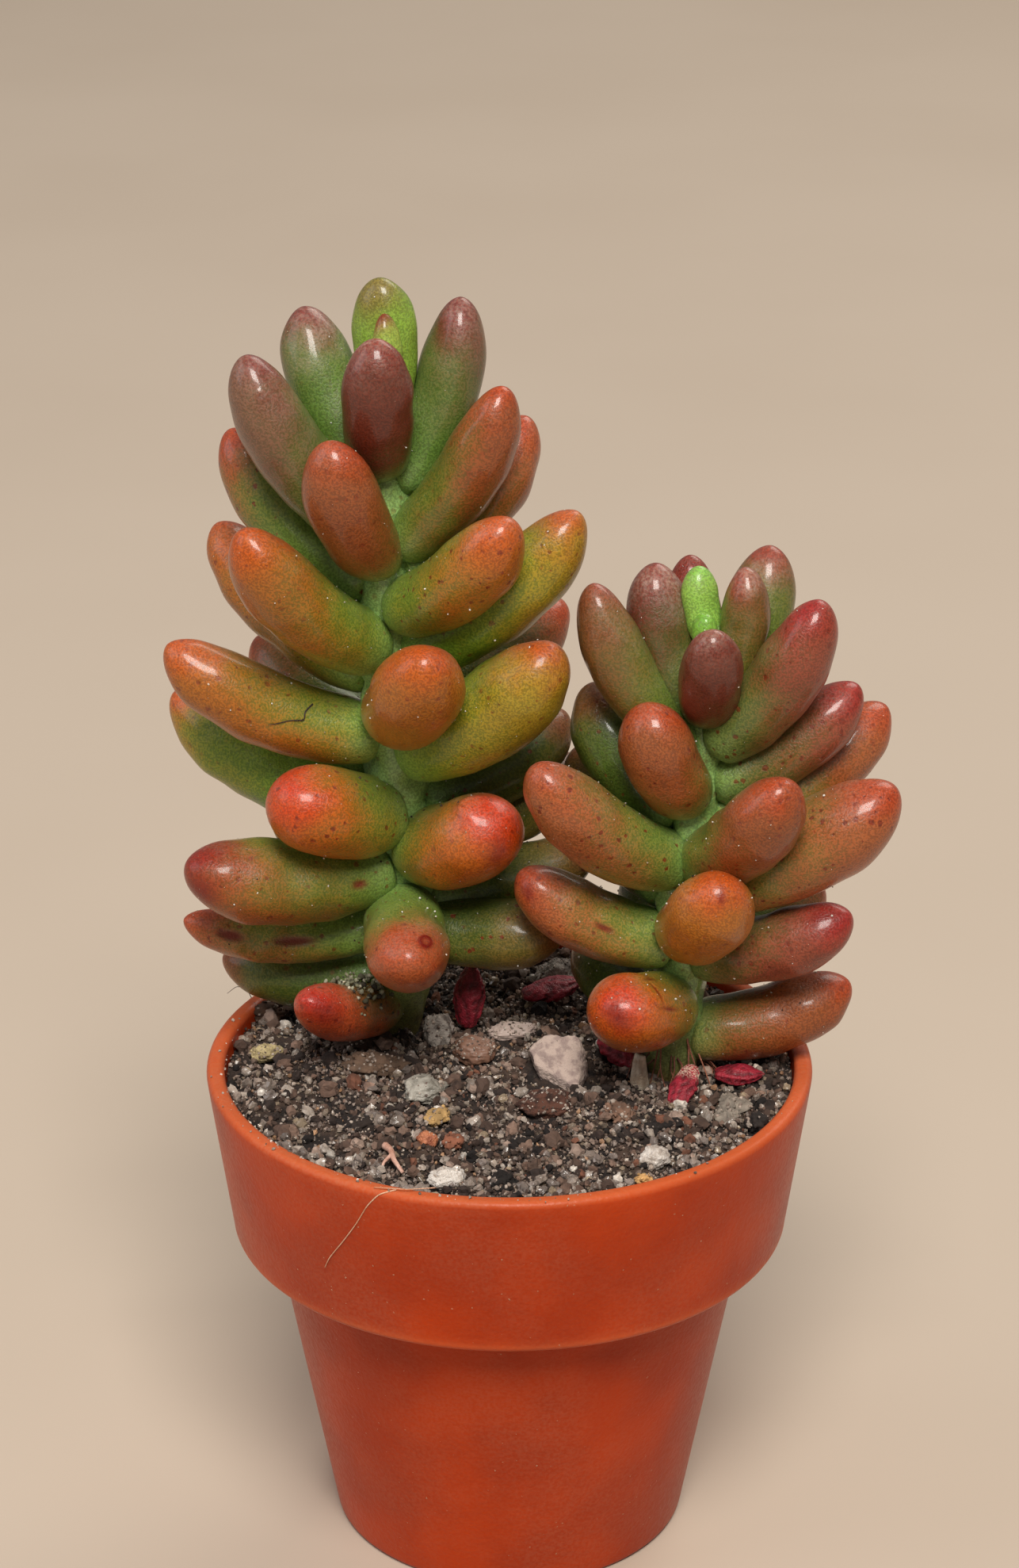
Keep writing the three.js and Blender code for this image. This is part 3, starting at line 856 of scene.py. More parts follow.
def place(piece: bpy.types.Object, finish: Finish, *nodes: str) -> None:
    """Let a piece ride on the body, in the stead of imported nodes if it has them.

    Args:
        piece: the new object.
        finish: its finish.
        nodes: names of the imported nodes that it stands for.
    """
    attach(piece, BODY)
    if nodes:
        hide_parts(*nodes)
    triangles = sum(len(face.vertices) - 2 for face in piece.data.polygons)
    LOG.info("%s: %d triangles, finish %s", piece.name, triangles, finish.name)


def add(made: Surface, name: str, finish: Finish, *nodes: str, smooth: bool = True) -> None:
    """Make a surface into a piece with a finish, and place it."""
    place(made.make(name, finish.material(), smooth), finish, *nodes)


# ---- Pot -------------------------------------------------------------------------------------


@dataclass
class Pot:
    """The tapered plastic pot with its wide collar, foot ring and drain holes.

    Attributes:
        height: from the foot to the rim.
        rim_radius: outside radius of the rim.
        rim_round: radius of the rim's edges.
        wall: thickness.
        collar_height: height of the collar.
        collar_foot_radius: outside radius of the collar's lower edge.
        neck_radius: radius under the collar.
        fillet: radius of the corner under the collar.
        base_radius: radius of the foot.
        edge_round: radius of the lower edges.
        floor_top: height of the inside floor.
        pad_radius: radius of the pad in the middle of the underside.
        foot_width: width of the ring that it stands on.
        recess: depth of the underside.
        drain_count: number of drain holes.
        drain_radius: their radius.
        drain_circle: radius of their circle.
        sides: flats round the pot.
    """

    height: float = 33.5
    rim_radius: float = 20.0
    rim_round: float = 0.45
    wall: float = 1.2
    collar_height: float = 11.6
    collar_foot_radius: float = 18.5
    neck_radius: float = 15.85
    fillet: float = 0.25
    base_radius: float = 11.9
    edge_round: float = 0.5
    floor_top: float = 2.0
    pad_radius: float = 3.2
    foot_width: float = 1.6
    recess: float = 0.8
    drain_count: int = 6
    drain_radius: float = 1.5
    drain_circle: float = 6.9
    sides: int = 192

    @property
    def collar_foot(self) -> float:
        """Height of the collar's lower edge."""
        return self.height - self.collar_height

    @property
    def shelf_top(self) -> float:
        """Height of the step inside the collar."""
        return self.collar_foot + self.wall

    def inner_radius(self, height: float) -> float:
        """Inside radius of the collar at a height above its step."""
        share = (height - self.shelf_top) / (self.height - self.rim_round - self.shelf_top)
        foot = self.collar_foot_radius - self.wall
        return foot + share * (self.rim_radius - self.wall - foot)

    def outer_radius(self, height: float) -> float:
        """Outside radius of the collar at a height."""
        share = (height - self.collar_foot) / (self.height - self.collar_foot)
        return self.collar_foot_radius + share * (self.rim_radius - self.collar_foot_radius)

    @staticmethod
    def _arc(x: float, y: float, radius: float, start: float, end: float, steps: int) -> list:
        """Draw part of a circle in the profile, between two angles in degrees."""
        angles = np.radians(np.linspace(start, end, steps))
        return [(x + radius * np.cos(a), y + radius * np.sin(a)) for a in angles]

    @staticmethod
    def _run(start: tuple[float, float], end: tuple[float, float], steps: int) -> list:
        """Draw a straight stretch of the profile, without its end."""
        (a, b), (c, d) = start, end
        return [(a + (c - a) * i / steps, b + (d - b) * i / steps) for i in range(steps)]

    def _profile(self) -> list[tuple[float, float]]:
        """Draw the outline: the underside, up the outside and back down the inside.

        Returns:
            (radius, height) points.
        """
        edge, rim, wall, recess = self.edge_round, self.rim_round, self.wall, self.recess
        base, neck, collar = self.base_radius, self.neck_radius, self.collar_foot_radius
        outside, top, under = self.rim_radius, self.height, self.collar_foot
        ring, corner = base - self.foot_width, self.fillet
        return [
            *self._run((self.pad_radius, 0.0), (self.pad_radius + recess, recess), 3),
            *self._run((self.pad_radius + recess, recess), (ring - recess, recess), 6),
            (ring - recess, recess),
            (ring, 0.0),
            (base - edge - 0.1, 0.0),
            *self._arc(base - edge, edge, edge, -80, -8, 6),
            *self._run((base + 0.05, edge + 0.2), (neck, under - corner), 24),
            *self._arc(neck + corner, under - corner, corner, 180, 90, 4),
            *self._arc(collar - edge, under + edge, edge, -90, 0, 8),
            *self._run((collar + 0.03, under + edge + 0.25), (outside - 0.02, top - rim - 0.2), 20),
            *self._arc(outside - rim, top - rim, rim, 0, 90, 8),
            *self._arc(outside - wall + rim, top - rim, rim, 90, 180, 8),
            *self._run((outside - wall, top - rim - 0.2), (collar - wall, self.shelf_top), 8),
            (collar - wall, self.shelf_top),
            (neck - wall, self.shelf_top),
            (base - 0.85 * wall, self.floor_top + 0.5 * wall),
            (base - 1.5 * wall, self.floor_top),
        ]

    def _shell(self) -> Surface:
        """Turn the outline round the axis.

        Returns:
            The closed pot, before its drain holes, with worn and painted-highlight edges marked.
        """
        line = np.array(self._profile())
        angle = 2 * np.pi * np.arange(self.sides) / self.sides
        oval, waves = 0.0012, 0.0006
        wobble = 1 + oval * np.sin(2 * angle + 0.6) + waves * np.sin(5 * angle)
        rings = line[:, 0, None, None] * (circle(self.sides) * wobble[:, None])
        rings[..., 2] += line[:, 1, None]
        shell = lofted(rings, np.zeros(3), np.array([0, 0, self.floor_top]))
        heights = shell.points[:, 2]
        radii = np.hypot(shell.points[:, 0], shell.points[:, 1])
        # painted highlight: the rounded top of the rim takes the lighter colour
        rim = np.clip((heights - (self.height - 1.1 * self.rim_round)) / self.rim_round, 0, 1)
        reach = 0.35
        step = np.exp(-(((heights - self.collar_foot - reach) / reach) ** 2))
        step *= radii > self.collar_foot_radius - 0.4
        return shell.painted(wear=np.maximum(rim, 0.6 * step))

    def _drill(self, shell: bpy.types.Object) -> None:
        """Cut the drain holes through the floor.

        Args:
            shell: the pot.
        """
        drills: list[Surface] = []
        sides = 32
        for centre in self.drain_circle * circle(self.drain_count):
            disc = circle(sides) * self.drain_radius + centre
            rings = np.stack([disc - [0, 0, self.floor_top], disc + [0, 0, 2 * self.floor_top]])
            drills.append(lofted(rings, rings[0].mean(0), rings[1].mean(0)))
        cutter = joined(drills).painted(wear=0.0).make("drills", TERRACOTTA.material())
        cut = shell.modifiers.new("drain_holes", "BOOLEAN")
        cut.operation = "DIFFERENCE"
        cut.solver = "EXACT"
        cut.object = cutter
        bpy.context.view_layer.update()
        drilled = shell.evaluated_get(bpy.context.evaluated_depsgraph_get())
        drilled = bpy.data.meshes.new_from_object(drilled)
        shell.modifiers.clear()
        solid, shell.data = shell.data, drilled
        drilled.name = shell.name
        bpy.data.meshes.remove(solid)
        bpy.data.objects.remove(cutter)

    def build(self) -> None:
        """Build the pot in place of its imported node."""
        piece = self._shell().make("pot_moulding", TERRACOTTA.material())
        self._drill(piece)
        place(piece, TERRACOTTA, "pot")


# ---- Soil ------------------------------------------------------------------------------------


@dataclass(frozen=True)
class Lump:
    """One crumb, chip or bead that can be told apart on the soil.

    Attributes:
        x: place to the right.
        y: place away from the front.
        sizes: half width, depth and height.
        tint: its colour.
        lift: height of its middle above the soil.
    """

    x: float
    y: float
    sizes: Spot
    tint: str
    lift: float = 0.2


@dataclass(frozen=True)
class Scatter:
    """One kind of loose grain on the soil.

    Attributes:
        seed: which scatter.
        count: how many are thrown; those on a stone or a stem are left out.
        sizes: smallest and largest radius.
        tints: share of each colour.
        unit: body that each grain is broken from.
        crowd: how strongly they gather in patches.
        sunk: how far each lies in the bed, as a share of its radius.
        front: share of the grains that gather at the front edge.
    """

    seed: int
    count: int
    sizes: tuple[float, float]
    tints: dict[str, float]
    unit: Surface
    crowd: float
    sunk: float
    front: float = 0.0


@dataclass
class Soil:
    """The gritty mix: a rough bed, and loose grains by kind that lie on it.

    Attributes:
        pot: the pot that holds it.
        level: mean height of its surface.
        relief: half the height of its gentle swells.
        keep_off: circles [x, y, radius] that stay free of loose grains.
        clearance: gap to the pot below the surface.
    """

    pot: Pot
    level: float = 32.55
    relief: float = 0.25
    keep_off: list[Spot] = field(default_factory=list)
    clearance: float = 0.3

    def swell(self, x: float | np.ndarray, y: float | np.ndarray) -> float | np.ndarray:
        """Height of the surface's gentle swells."""
        waves = np.sin(0.42 * x + 0.8) * np.cos(0.37 * y - 0.5) + 0.5 * np.sin(0.9 * x - 0.7 * y)
        return self.level + self.relief * waves

    def roughness(self, x: float | np.ndarray, y: float | np.ndarray) -> np.ndarray:
        """Height of the crumbs of the bed over its swells."""
        flat = np.stack([x, y, np.zeros_like(x)], -1)
        broad, middle, fine = ripple(flat, 3.4, 11), ripple(flat, 1.3, 12), ripple(flat, 0.55, 13)
        return 0.10 * broad + 0.10 * middle + 0.07 * fine - 0.12

    def height(self, x: float | np.ndarray, y: float | np.ndarray) -> np.ndarray:
        """Height of the bed."""
        return self.swell(x, y) + self.roughness(x, y)

    def _bed(self) -> Surface:
        """Build the bed with its sides and underside, down to the pot's floor.

        Returns:
            The closed bed, with "raised" from 0 in its hollows to 1 on its crumbs.
        """
        sides, rows = 320, 96
        wheel = circle(sides)
        edge = self.pot.inner_radius(self.level) - 0.06
        top = (edge * np.linspace(1, 0.012, rows))[:, None, None] * wheel
        top[..., 2] = self.height(top[..., 0], top[..., 1])
        gap, wall, pot = self.clearance, self.pot.wall, self.pot
        lower = [
            (pot.base_radius - 1.5 * wall - gap, pot.floor_top + gap),
            (pot.base_radius - 0.85 * wall - gap, pot.floor_top + 0.5 * wall + gap),
            (pot.neck_radius - wall - gap, pot.shelf_top + gap),
            (pot.collar_foot_radius - wall - gap, pot.shelf_top + gap),
            (edge - gap, self.level - 1.5),
        ]
        below = np.array([radius * wheel + [0, 0, height] for radius, height in lower])
        middle = np.array([0.0, 0.0, float(self.height(0.0, 0.0))])
        bed = lofted(np.concatenate([below, top]), np.array([0, 0, pot.floor_top + gap]), middle)
        lift = self.roughness(bed.points[:, 0], bed.points[:, 1]) + 0.12
        return bed.painted(raised=np.clip(0.5 + lift / 0.34, 0, 1))

    def _free(self, x: np.ndarray, y: np.ndarray, radius: np.ndarray) -> np.ndarray:
        """Tell which grains lie in the pot and clear of the stones and the stems.

        Args:
            x: places to the right.
            y: places away from the front.
            radius: sizes of the grains.

        Returns:
            True for each grain that lies clear.
        """
        free = np.hypot(x, y) + radius < self.pot.inner_radius(self.level) + 0.15
        for cx, cy, reach in self.keep_off:
            free &= np.hypot(x - cx, y - cy) > reach + 0.6 * radius
        return free

    def _scattered(self, kind: Scatter) -> Surface:
        """Scatter grains of one kind over the bed.

        Args:
            kind: what they are.

        Returns:
            The grains, each with its own "tint".
        """
        count = kind.count
        rng = np.random.default_rng(kind.seed)
        reach = self.pot.inner_radius(self.level)
        far = reach * np.sqrt(rng.uniform(0, 1, count))
        heading = rng.uniform(0, 2 * np.pi, count)
        gathered = rng.uniform(0, 1, count) < kind.front
        far = np.where(gathered, reach * (1 - 0.16 * rng.uniform(0, 1, count) ** 1.3), far)
        heading = np.where(gathered, np.radians(rng.normal(-90, 48, count)), heading)
        x, y = far * np.cos(heading), far * np.sin(heading)
        least, most = kind.sizes
        radius = least + (most - least) * rng.uniform(0, 1, count) ** 2.2
        patch = ripple(np.stack([x, y, np.zeros(count)], -1), 5.0, kind.seed + 1)
        sparse = rng.normal(0, 1, count) < 1.2 + kind.crowd * (patch - 0.6)
        kept = self._free(x, y, radius) & sparse
        x, y, radius = x[kept], y[kept], radius[kept]
        z = self.height(x, y) + (1 - 2 * kind.sunk) * radius
        z = np.minimum(z, self.pot.height + 0.35 - radius)
        return grains(rng, np.stack([x, y, z], -1), radius, kind.tints, kind.unit)

    def _lumps(self, lumps: list[Lump]) -> Surface:
        """Build the crumbs and chips that can be told apart, with grains on them.

        Args:
            lumps: their list.

        Returns:
            All of them.
        """
        made: list[Surface] = []
        unit = ball(4)
        rng = np.random.default_rng(81)
        for i, lump in enumerate(lumps):
            rough = 0.14 * ripple(unit.points, 1.1, 300 + i)
            rough = 1 + rough + 0.09 * ripple(unit.points, 0.35, 400 + i)
            points = unit.points * np.clip(rough, 0.7, 1.3)[:, None] * np.array(lump.sizes)
            height = self.swell(lump.x, lump.y) + lump.lift
            points = spun(points, 37 * i) + [lump.x, lump.y, height]
            made.append(Surface(points, tris=unit.tris).painted(tint=paint(lump.tint)[:3]))
            tints = {lump.tint: 3, "97867a": 1.5, "b3a396": 1}
            count = int(90 * lump.sizes[0] * lump.sizes[1])
            chosen = points[rng.integers(len(points), size=count)]
            made.append(grains(rng, chosen, rng.uniform(0.07, 0.2, count), tints, ball(1)))
        return joined(made)

    def build(self) -> None:
        """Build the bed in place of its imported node, and the loose grains."""
        add(self._bed(), "soil_bed", MIX, "soil")
        peat = {"332722": 4, "4c3a31": 4, "664f43": 3.5, "846a5c": 2.5}
        peat |= {"1c1513": 2.5, "a0887a": 1.6, "744a38": 1.2}
        sand = {"8f7d71": 4, "776459": 5, "a99889": 2, "604e45": 5}
        sand |= {"a98262": 0.8, "c5b7aa": 0.4, "84756c": 4}
        glassy = {"ab9e93": 4, "93857b": 5, "c8beb3": 1.3, "a5927b": 1.6, "7f736c": 5}
        dull = {"9c8e82": 4, "857668": 5, "b5a89c": 1.4, "6e5e54": 5, "a07c60": 0.9}
        crumbs = [
            Scatter(51, 650, (0.3, 0.72), peat, ball(2), 0.5, 0.3),
            Scatter(52, 3600, (0.1, 0.34), peat, ball(1), 0.5, 0.2),
        ]
        fine = [Scatter(61, 17000, (0.06, 0.25), sand, chip(), 1.0, 0.1)]
        quartz = [
            Scatter(71, 1100, (0.16, 0.52), glassy, ball(2), 1.0, 0.15, front=0.3),
            Scatter(72, 2600, (0.12, 0.34), dull, ball(1), 1.0, 0.15),
        ]
        for name, kinds, finish in (
            ("soil_crumbs", crumbs, PEAT_CRUMBS),
            ("soil_sand", fine, SAND),
            ("soil_quartz", quartz, QUARTZ),
        ):
            add(joined([self._scattered(kind) for kind in kinds]), name, finish, smooth=False)
        lumps = [
            Lump(-9.1, 0.6, (2.3, 1.5, 0.8), "6b5444", 0.1),
            Lump(-10.3, 3.4, (1.3, 0.9, 0.7), "4a382e"),
            Lump(-4.6, -7.7, (0.95, 0.75, 0.4), "b6925e", 0.25),
            Lump(8.4, -15.3, (0.5, 0.45, 0.4), "c69a63", 0.35),
            Lump(16.0, -8.4, (0.8, 0.6, 0.8), "2b221e", 0.4),
            Lump(-16.6, 8.2, (1.5, 1.1, 0.7), "4c3527", 0.3),
            Lump(-5.4, -3.0, (1.4, 1.1, 0.5), "9a9388", 0.0),
            Lump(14.4, -5.6, (1.5, 1.1, 0.7), "8f8478", 0.1),
            Lump(-0.5, -15.4, (0.9, 0.8, 0.5), "1c1613", 0.0),
            Lump(0.9, -10.5, (0.9, 0.7, 0.5), "211915", 0.0),
            Lump(10.0, -8.6, (1.0, 0.8, 0.5), "221a17", 0.0),
            Lump(-9.6, -7.9, (1.0, 0.8, 0.5), "2b211c", 0.0),
            Lump(-3.6, -10.4, (0.75, 0.6, 0.5), "8a5640", 0.2),
            Lump(7.2, -6.4, (1.2, 0.8, 0.5), "7a5c4b", 0.1),
        ]
        add(self._lumps(lumps), "soil_lumps", PEAT_CRUMBS)


# ---- Shoots ----------------------------------------------------------------------------------


class Tone(Enum):
    """Colours of a leaf at its stem, on its body and at its tip."""

    BUD = ("86b048", "5a9c24", "78b440")
    TENDER = ("8ca848", "94a444", "8c2c1c")
    FRESH = ("84a43c", "709428", "7a6c2a")
    PLUM = ("5c7a30", "74503a", "70201a")
    DUSK = ("566428", "622818", "7c2012")
    BRONZE = ("607428", "764a22", "8a3420")
    WINE = ("5e7030", "86402a", "921c18")
    RUSSET = ("647a2a", "8c4a22", "a83c0c")
    ROSE = ("688232", "9c562c", "a43e18")
    AMBER = ("6c8428", "a05e18", "b44a04")
    OLIVE = ("6a8c26", "9c8420", "b05014")
    EMBER = ("667a2a", "98501c", "84200e")
    FLAME = ("6c7e28", "ac5812", "bc3202")
    CRIMSON = ("74602c", "ac461c", "bc220a")
    # moss green made darker as painted shade, for the low and back leaves
    SHADED_MOSS = ("4c6220", "745e26", "8e4e28")


@dataclass(frozen=True)
class Outline:
    """Shape of a leaf seen from above.

    Attributes:
        heel: half width at the stem, as a share of the widest.
        widest: place of the widest, as a share of the length.
        heel_power: how full the heel is.
        tip_shoulder: how late the tip narrows.
        tip_power: how blunt the tip is.
    """

    heel: float
    widest: float
    heel_power: float
    tip_shoulder: float
    tip_power: float

    def half_width(self, t: np.ndarray) -> np.ndarray:
        """Half the width, as a share of the widest, at places from 0 to 1."""
        low = np.clip(1 - t / self.widest, 0, 1)
        high = np.clip((t - self.widest) / (1 - self.widest), 0, 1)
        heel = self.heel + (1 - self.heel) * (1 - low**self.heel_power) ** (1 / self.heel_power)
        tip = np.clip(1 - high**self.tip_shoulder, 0, 1) ** self.tip_power
        return np.where(t < self.widest, heel, tip)


PLUMP = Outline(heel=0.6, widest=0.6, heel_power=2.5, tip_shoulder=2, tip_power=0.55)
SHRUNKEN = Outline(heel=0.35, widest=0.5, heel_power=1.6, tip_shoulder=1.7, tip_power=0.8)
PLAIN_NET = (40, 32)
FINE_NET = (84, 72)
STEM_RINGS, STEM_SIDES = 90, 28


@dataclass(frozen=True)
class Blade:
    """A leaf's body: flattened round its length and bent upwards along an arc.

    Attributes:
        root: where it starts.
        azimuth: where it heads, seen from above.
        pitch: mean rise.
        length: along its arc.
        width: at its widest.
        flatness: thickness over width.
        bend: how far it curves upwards from stem to tip.
        outline: its shape from above.
    """

    root: Spot
    azimuth: float
    pitch: float
    length: float
    width: float
    flatness: float
    bend: float
    outline: Outline

    def at(self, t: np.ndarray, angle: np.ndarray, radius: np.ndarray) -> np.ndarray:
        """Give places in or on the leaf.

        Args:
            t: from 0 at the stem to 1 at the tip.
            angle: round the leaf in degrees, 90 for its upper side.
            radius: distance from its middle line.

        Returns:
            (..., 3) points.
        """
        turn, rise = np.radians(self.azimuth), np.radians(self.pitch - self.bend / 2)
        curvature = np.radians(self.bend) / self.length
        lean = rise + curvature * t * self.length
        outwards = (np.sin(lean) - np.sin(rise)) / curvature
        upwards = (np.cos(rise) - np.cos(lean)) / curvature
        across = radius * np.cos(np.radians(angle))
        raised = radius * np.sin(np.radians(angle)) * self.flatness
        out = np.array([np.cos(turn), np.sin(turn), 0])
        side = np.array([-np.sin(turn), np.cos(turn), 0])
        ahead = (outwards - raised * np.sin(lean))[..., None] * out
        high = (upwards + raised * np.cos(lean))[..., None] * np.array([0, 0, 1])
        return np.array(self.root) + ahead + across[..., None] * side + high

    def closed(self, rings: np.ndarray) -> Surface:
        """Close rings of points on the leaf at its stem and at its tip."""
        ends = self.at(np.array([0.0, 1.0]), np.zeros(2), np.zeros(2))
        return lofted(rings, ends[0], ends[1])

    def net(self, rows: int, sides: int) -> tuple[np.ndarray, np.ndarray, np.ndarray]:
        """Lay a net of places over the leaf.

        Args:
            rows: rings along it.
            sides: places round it.

        Returns:
            (rows, sides) arrays of t, angle and radius.
        """
        share = np.linspace(0, 1, rows + 1)[:-1]
        along = 1 - (1 - share) ** 1.6
        t, angle = np.meshgrid(along, 360 * np.arange(sides) / sides, indexing="ij")
        return t, angle, self.outline.half_width(t) * self.width / 2


class Kind(Enum):
    """Kinds of mark on a leaf."""

    SCAR = "dark red healed wound, a little sunken"
    RING = "dark red ring with a raised rim"
    BLISTER = "small raised ring"
    CRACK = "thin dark line"
    KNOB = "rounded swelling"
    GRAZE = "dark red patch"


@dataclass(frozen=True)
class Mark:
    """A mark on one leaf.

    Attributes:
        age: which leaf.
        kind: what it is.
        t: place along the leaf.
        angle: place round it, in degrees.
        long: half size along the leaf, in millimetres.
        wide: half size across it.
    """

    age: int
    kind: Kind
    t: float
    angle: float
    long: float
    wide: float

    def apply(
        self, blade: Blade, t: np.ndarray, angle: np.ndarray, radius: np.ndarray
    ) -> tuple[np.ndarray, np.ndarray]:
        """Reckon the mark over the leaf's net.

        Args:
            blade: the leaf's body.
            t: the net's places along the leaf.
            angle: the net's places round it.
            radius: the net's radii.

        Returns:
            Height over the skin in millimetres, and how dark it is from 0 to 1.
        """
        around = np.radians((angle - self.angle + 180) % 360 - 180) * np.maximum(radius, 0.4)
        away = np.hypot((t - self.t) * blade.length / self.long, around / self.wide)
        spot = np.exp(-(away**4))
        if self.kind is Kind.SCAR:
            return -0.12 * spot + 0.06 * np.exp(-(((away - 1.1) / 0.3) ** 2)), 0.9 * spot
        if self.kind is Kind.RING:
            rim = np.exp(-(((away - 0.8) / 0.3) ** 2))
            return 0.1 * rim - 0.05 * spot, np.clip(0.9 * rim + 0.35 * spot, 0, 1)
        if self.kind is Kind.BLISTER:
            rim = np.exp(-(((away - 0.8) / 0.28) ** 2))
            return 0.1 * rim, 0.22 * np.exp(-(((away - 0.5) / 0.3) ** 2))
        if self.kind is Kind.CRACK:
            line = np.exp(-(away**2))
            return -0.1 * line, 0.95 * line
        if self.kind is Kind.KNOB:
            return 0.75 * np.exp(-(away**2)), np.zeros_like(t)
        return np.zeros_like(t), 0.75 * np.exp(-(away**2))


@dataclass(frozen=True)
class Row:
    """How one leaf departs from its shoot's habit, and its colours.

    Attributes:
        age: count from the youngest.
        tone: its colours.
        blush: how far its body colour comes down from the tip, from 0 to 1.
        turn: departure of its azimuth.
        pitch: departure of its pitch.
        length: departure of its length.
        width: departure of its width.
        lift: departure of its height on the stem.
    """

    age: int
    tone: Tone
    blush: float
    turn: float = 0.0
    pitch: float = 0.0
    length: float = 0.0
    width: float = 0.0
    lift: float = 0.0


@dataclass
class Shoot:
    """One shoot: a stem and the leaves round it in a golden-angle spiral.

    Attributes:
        name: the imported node's name.
        level: height of the soil.
        stem: height over the soil, x, y and radius along the stem.
        habit: age, and the height, twist, pitch, length and width that leaves have at it.
        rows: the leaves.
        marks: marks on leaves.
        first_azimuth: where the leaf of age 0 heads.
        flatness: thickness over width.
        bend: how far a leaf curves upwards.
        root_inset: where a leaf starts, as a share of the stem's radius.
        hole_depth: how far the stem goes into the soil.
        clearance: gap under its buried end.
        seed: of its chance unevenness.
    """

    name: str
    level: float
    stem: dict[str, list[float]]
    habit: dict[str, list[float]]
    rows: list[Row]
    marks: list[Mark]
    seed: int
    first_azimuth: float = -90.0
    flatness: float = 0.9
    bend: float = 40.0
    root_inset: float = 0.55
    hole_depth: float = 7.0
    clearance: float = 0.3

    def on_stem(self, key: str, height: float | np.ndarray) -> float | np.ndarray:
        """Read x, y or the radius of the stem at a height over the soil."""
        return np.interp(height, self.stem["height"], self.stem[key])

    def usual(self, key: str, age: int) -> float:
        """Read what leaves of an age usually have."""
        return float(np.interp(age, self.habit["age"], self.habit[key]))

    def blade(self, row: Row) -> Blade:
        """Work out one leaf's body.

        Args:
            row: the leaf.

        Returns:
            Its body.
        """
        height = self.usual("height", row.age) + row.lift
        azimuth = self.first_azimuth + GOLDEN_ANGLE * row.age + self.usual("twist", row.age)
        azimuth += row.turn
        inset = self.root_inset * self.on_stem("radius", height)
        heading = np.radians(azimuth)
        root = (
            self.on_stem("x", height) + inset * np.cos(heading),
            self.on_stem("y", height) + inset * np.sin(heading),
            self.level + height,
        )
        return Blade(
            root,
            azimuth,
            self.usual("pitch", row.age) + row.pitch,
            self.usual("length", row.age) + row.length,
            self.usual("width", row.age) + row.width,
            self.flatness,
            self.bend,
            PLUMP,
        )

    def _leaf(self, row: Row) -> Surface:
        """Build one leaf with its marks and colours.

        Args:
            row: the leaf.

        Returns:
            The closed leaf.
        """
        blade = self.blade(row)
        marks = [mark for mark in self.marks if mark.age == row.age]
        t, angle, radius = blade.net(*(FINE_NET if marks else PLAIN_NET))
        dark = np.zeros_like(t)
        height = np.zeros_like(t)
        for mark in marks:
            raised, darker = mark.apply(blade, t, angle, radius)
            height += raised
            dark = np.maximum(dark, darker)
        plain = blade.at(t, angle, radius)
        chance = self.seed + 10 * row.age
        uneven = ripple(plain, 0.55 * blade.width, chance)
        taut = np.clip(radius / (0.4 * blade.width), 0, 1)
        rings = blade.at(t, angle, radius + (height + 0.008 * blade.width * uneven) * taut)
        base, body, end = (np.array(paint(code)[:3]) for code in row.tone.value)
        young = np.clip(1 - (row.age + 4) / 11, 0, 1)
        old = np.clip((row.age - 4) / 14, 0, 1)
        rng = np.random.default_rng(chance)
        light = rng.uniform(0.93, 1.07)
        freckled = 0.0 if row.tone is Tone.BUD else 0.25 if young > 0.4 else 1.0
        return blade.closed(rings).painted(
            along=np.concatenate([[0], t.ravel(), [1]]),
            under=np.concatenate([[0], -np.sin(np.radians(angle)).ravel(), [0]]),
            blush=row.blush,
            base=light * base,
            body=light * body,
            tip=end,
            freckles=rng.uniform(0.3, 1.0) * freckled,
            # waxy film and painted tip highlight: strong on young dusky leaves, 0.2 on the rest
            bloom=0.75 * young if row.tone in (Tone.PLUM, Tone.BRONZE, Tone.DUSK) else 0.2,
            dust=0.35 + 0.65 * old,
            scar=np.concatenate([[0], dark.ravel(), [0]]),
        )

    def _trunk(self) -> Surface:
        """Build the stem from its buried end to the growing tip.

        Returns:
            The closed stem.
        """
        top = self.stem["height"][-1]
        rings = np.linspace(-3, top, STEM_RINGS)
        heights = np.concatenate([[self.clearance - self.hole_depth], rings])
        radii = self.on_stem("radius", heights)
        radii[0] *= 0.8
        x, y = self.on_stem("x", heights), self.on_stem("y", heights)
        middle = np.stack([x, y, self.level + heights], -1)
        wheel = circle(STEM_SIDES)
        uneven = ripple(middle[:, None] + radii[:, None, None] * wheel, 1.8, self.seed)
        rings = middle[:, None] + (radii[:, None] * (1 + 0.06 * uneven))[..., None] * wheel
        end = middle[-1] + [0, 0, self.stem["radius"][-1]]
        trunk = lofted(rings, middle[0], end)
        share = np.clip((trunk.points[:, 2] - self.level) / top, 0, 1)
        woody = np.clip(1 - share / 0.16, 0, 1)[:, None]
        green = np.array(paint("8cac62")[:3]) * (1 - woody) + np.array(paint("6d6138")[:3]) * woody
        plain = dict(along=0.3, under=0.0, blush=0.0, freckles=0.4, bloom=0.05, scar=0.0)
        return trunk.painted(base=green, body=green, tip=green, dust=0.5 * woody[:, 0], **plain)

    def build(self) -> None:
        """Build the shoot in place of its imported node."""
        parts = [self._trunk()] + [self._leaf(row) for row in self.rows]
        add(joined(parts), f"{self.name}_leaves", SKIN, self.name)

    def on_leaf(
        self, age: int, t: np.ndarray, angle: np.ndarray, above: float = 0.0
    ) -> np.ndarray:
        """Give places on the skin of the leaf of an age, or a little above it."""
        blade = self.blade(next(row for row in self.rows if row.age == age))
        return blade.at(t, angle, blade.outline.half_width(t) * blade.width / 2 + above)

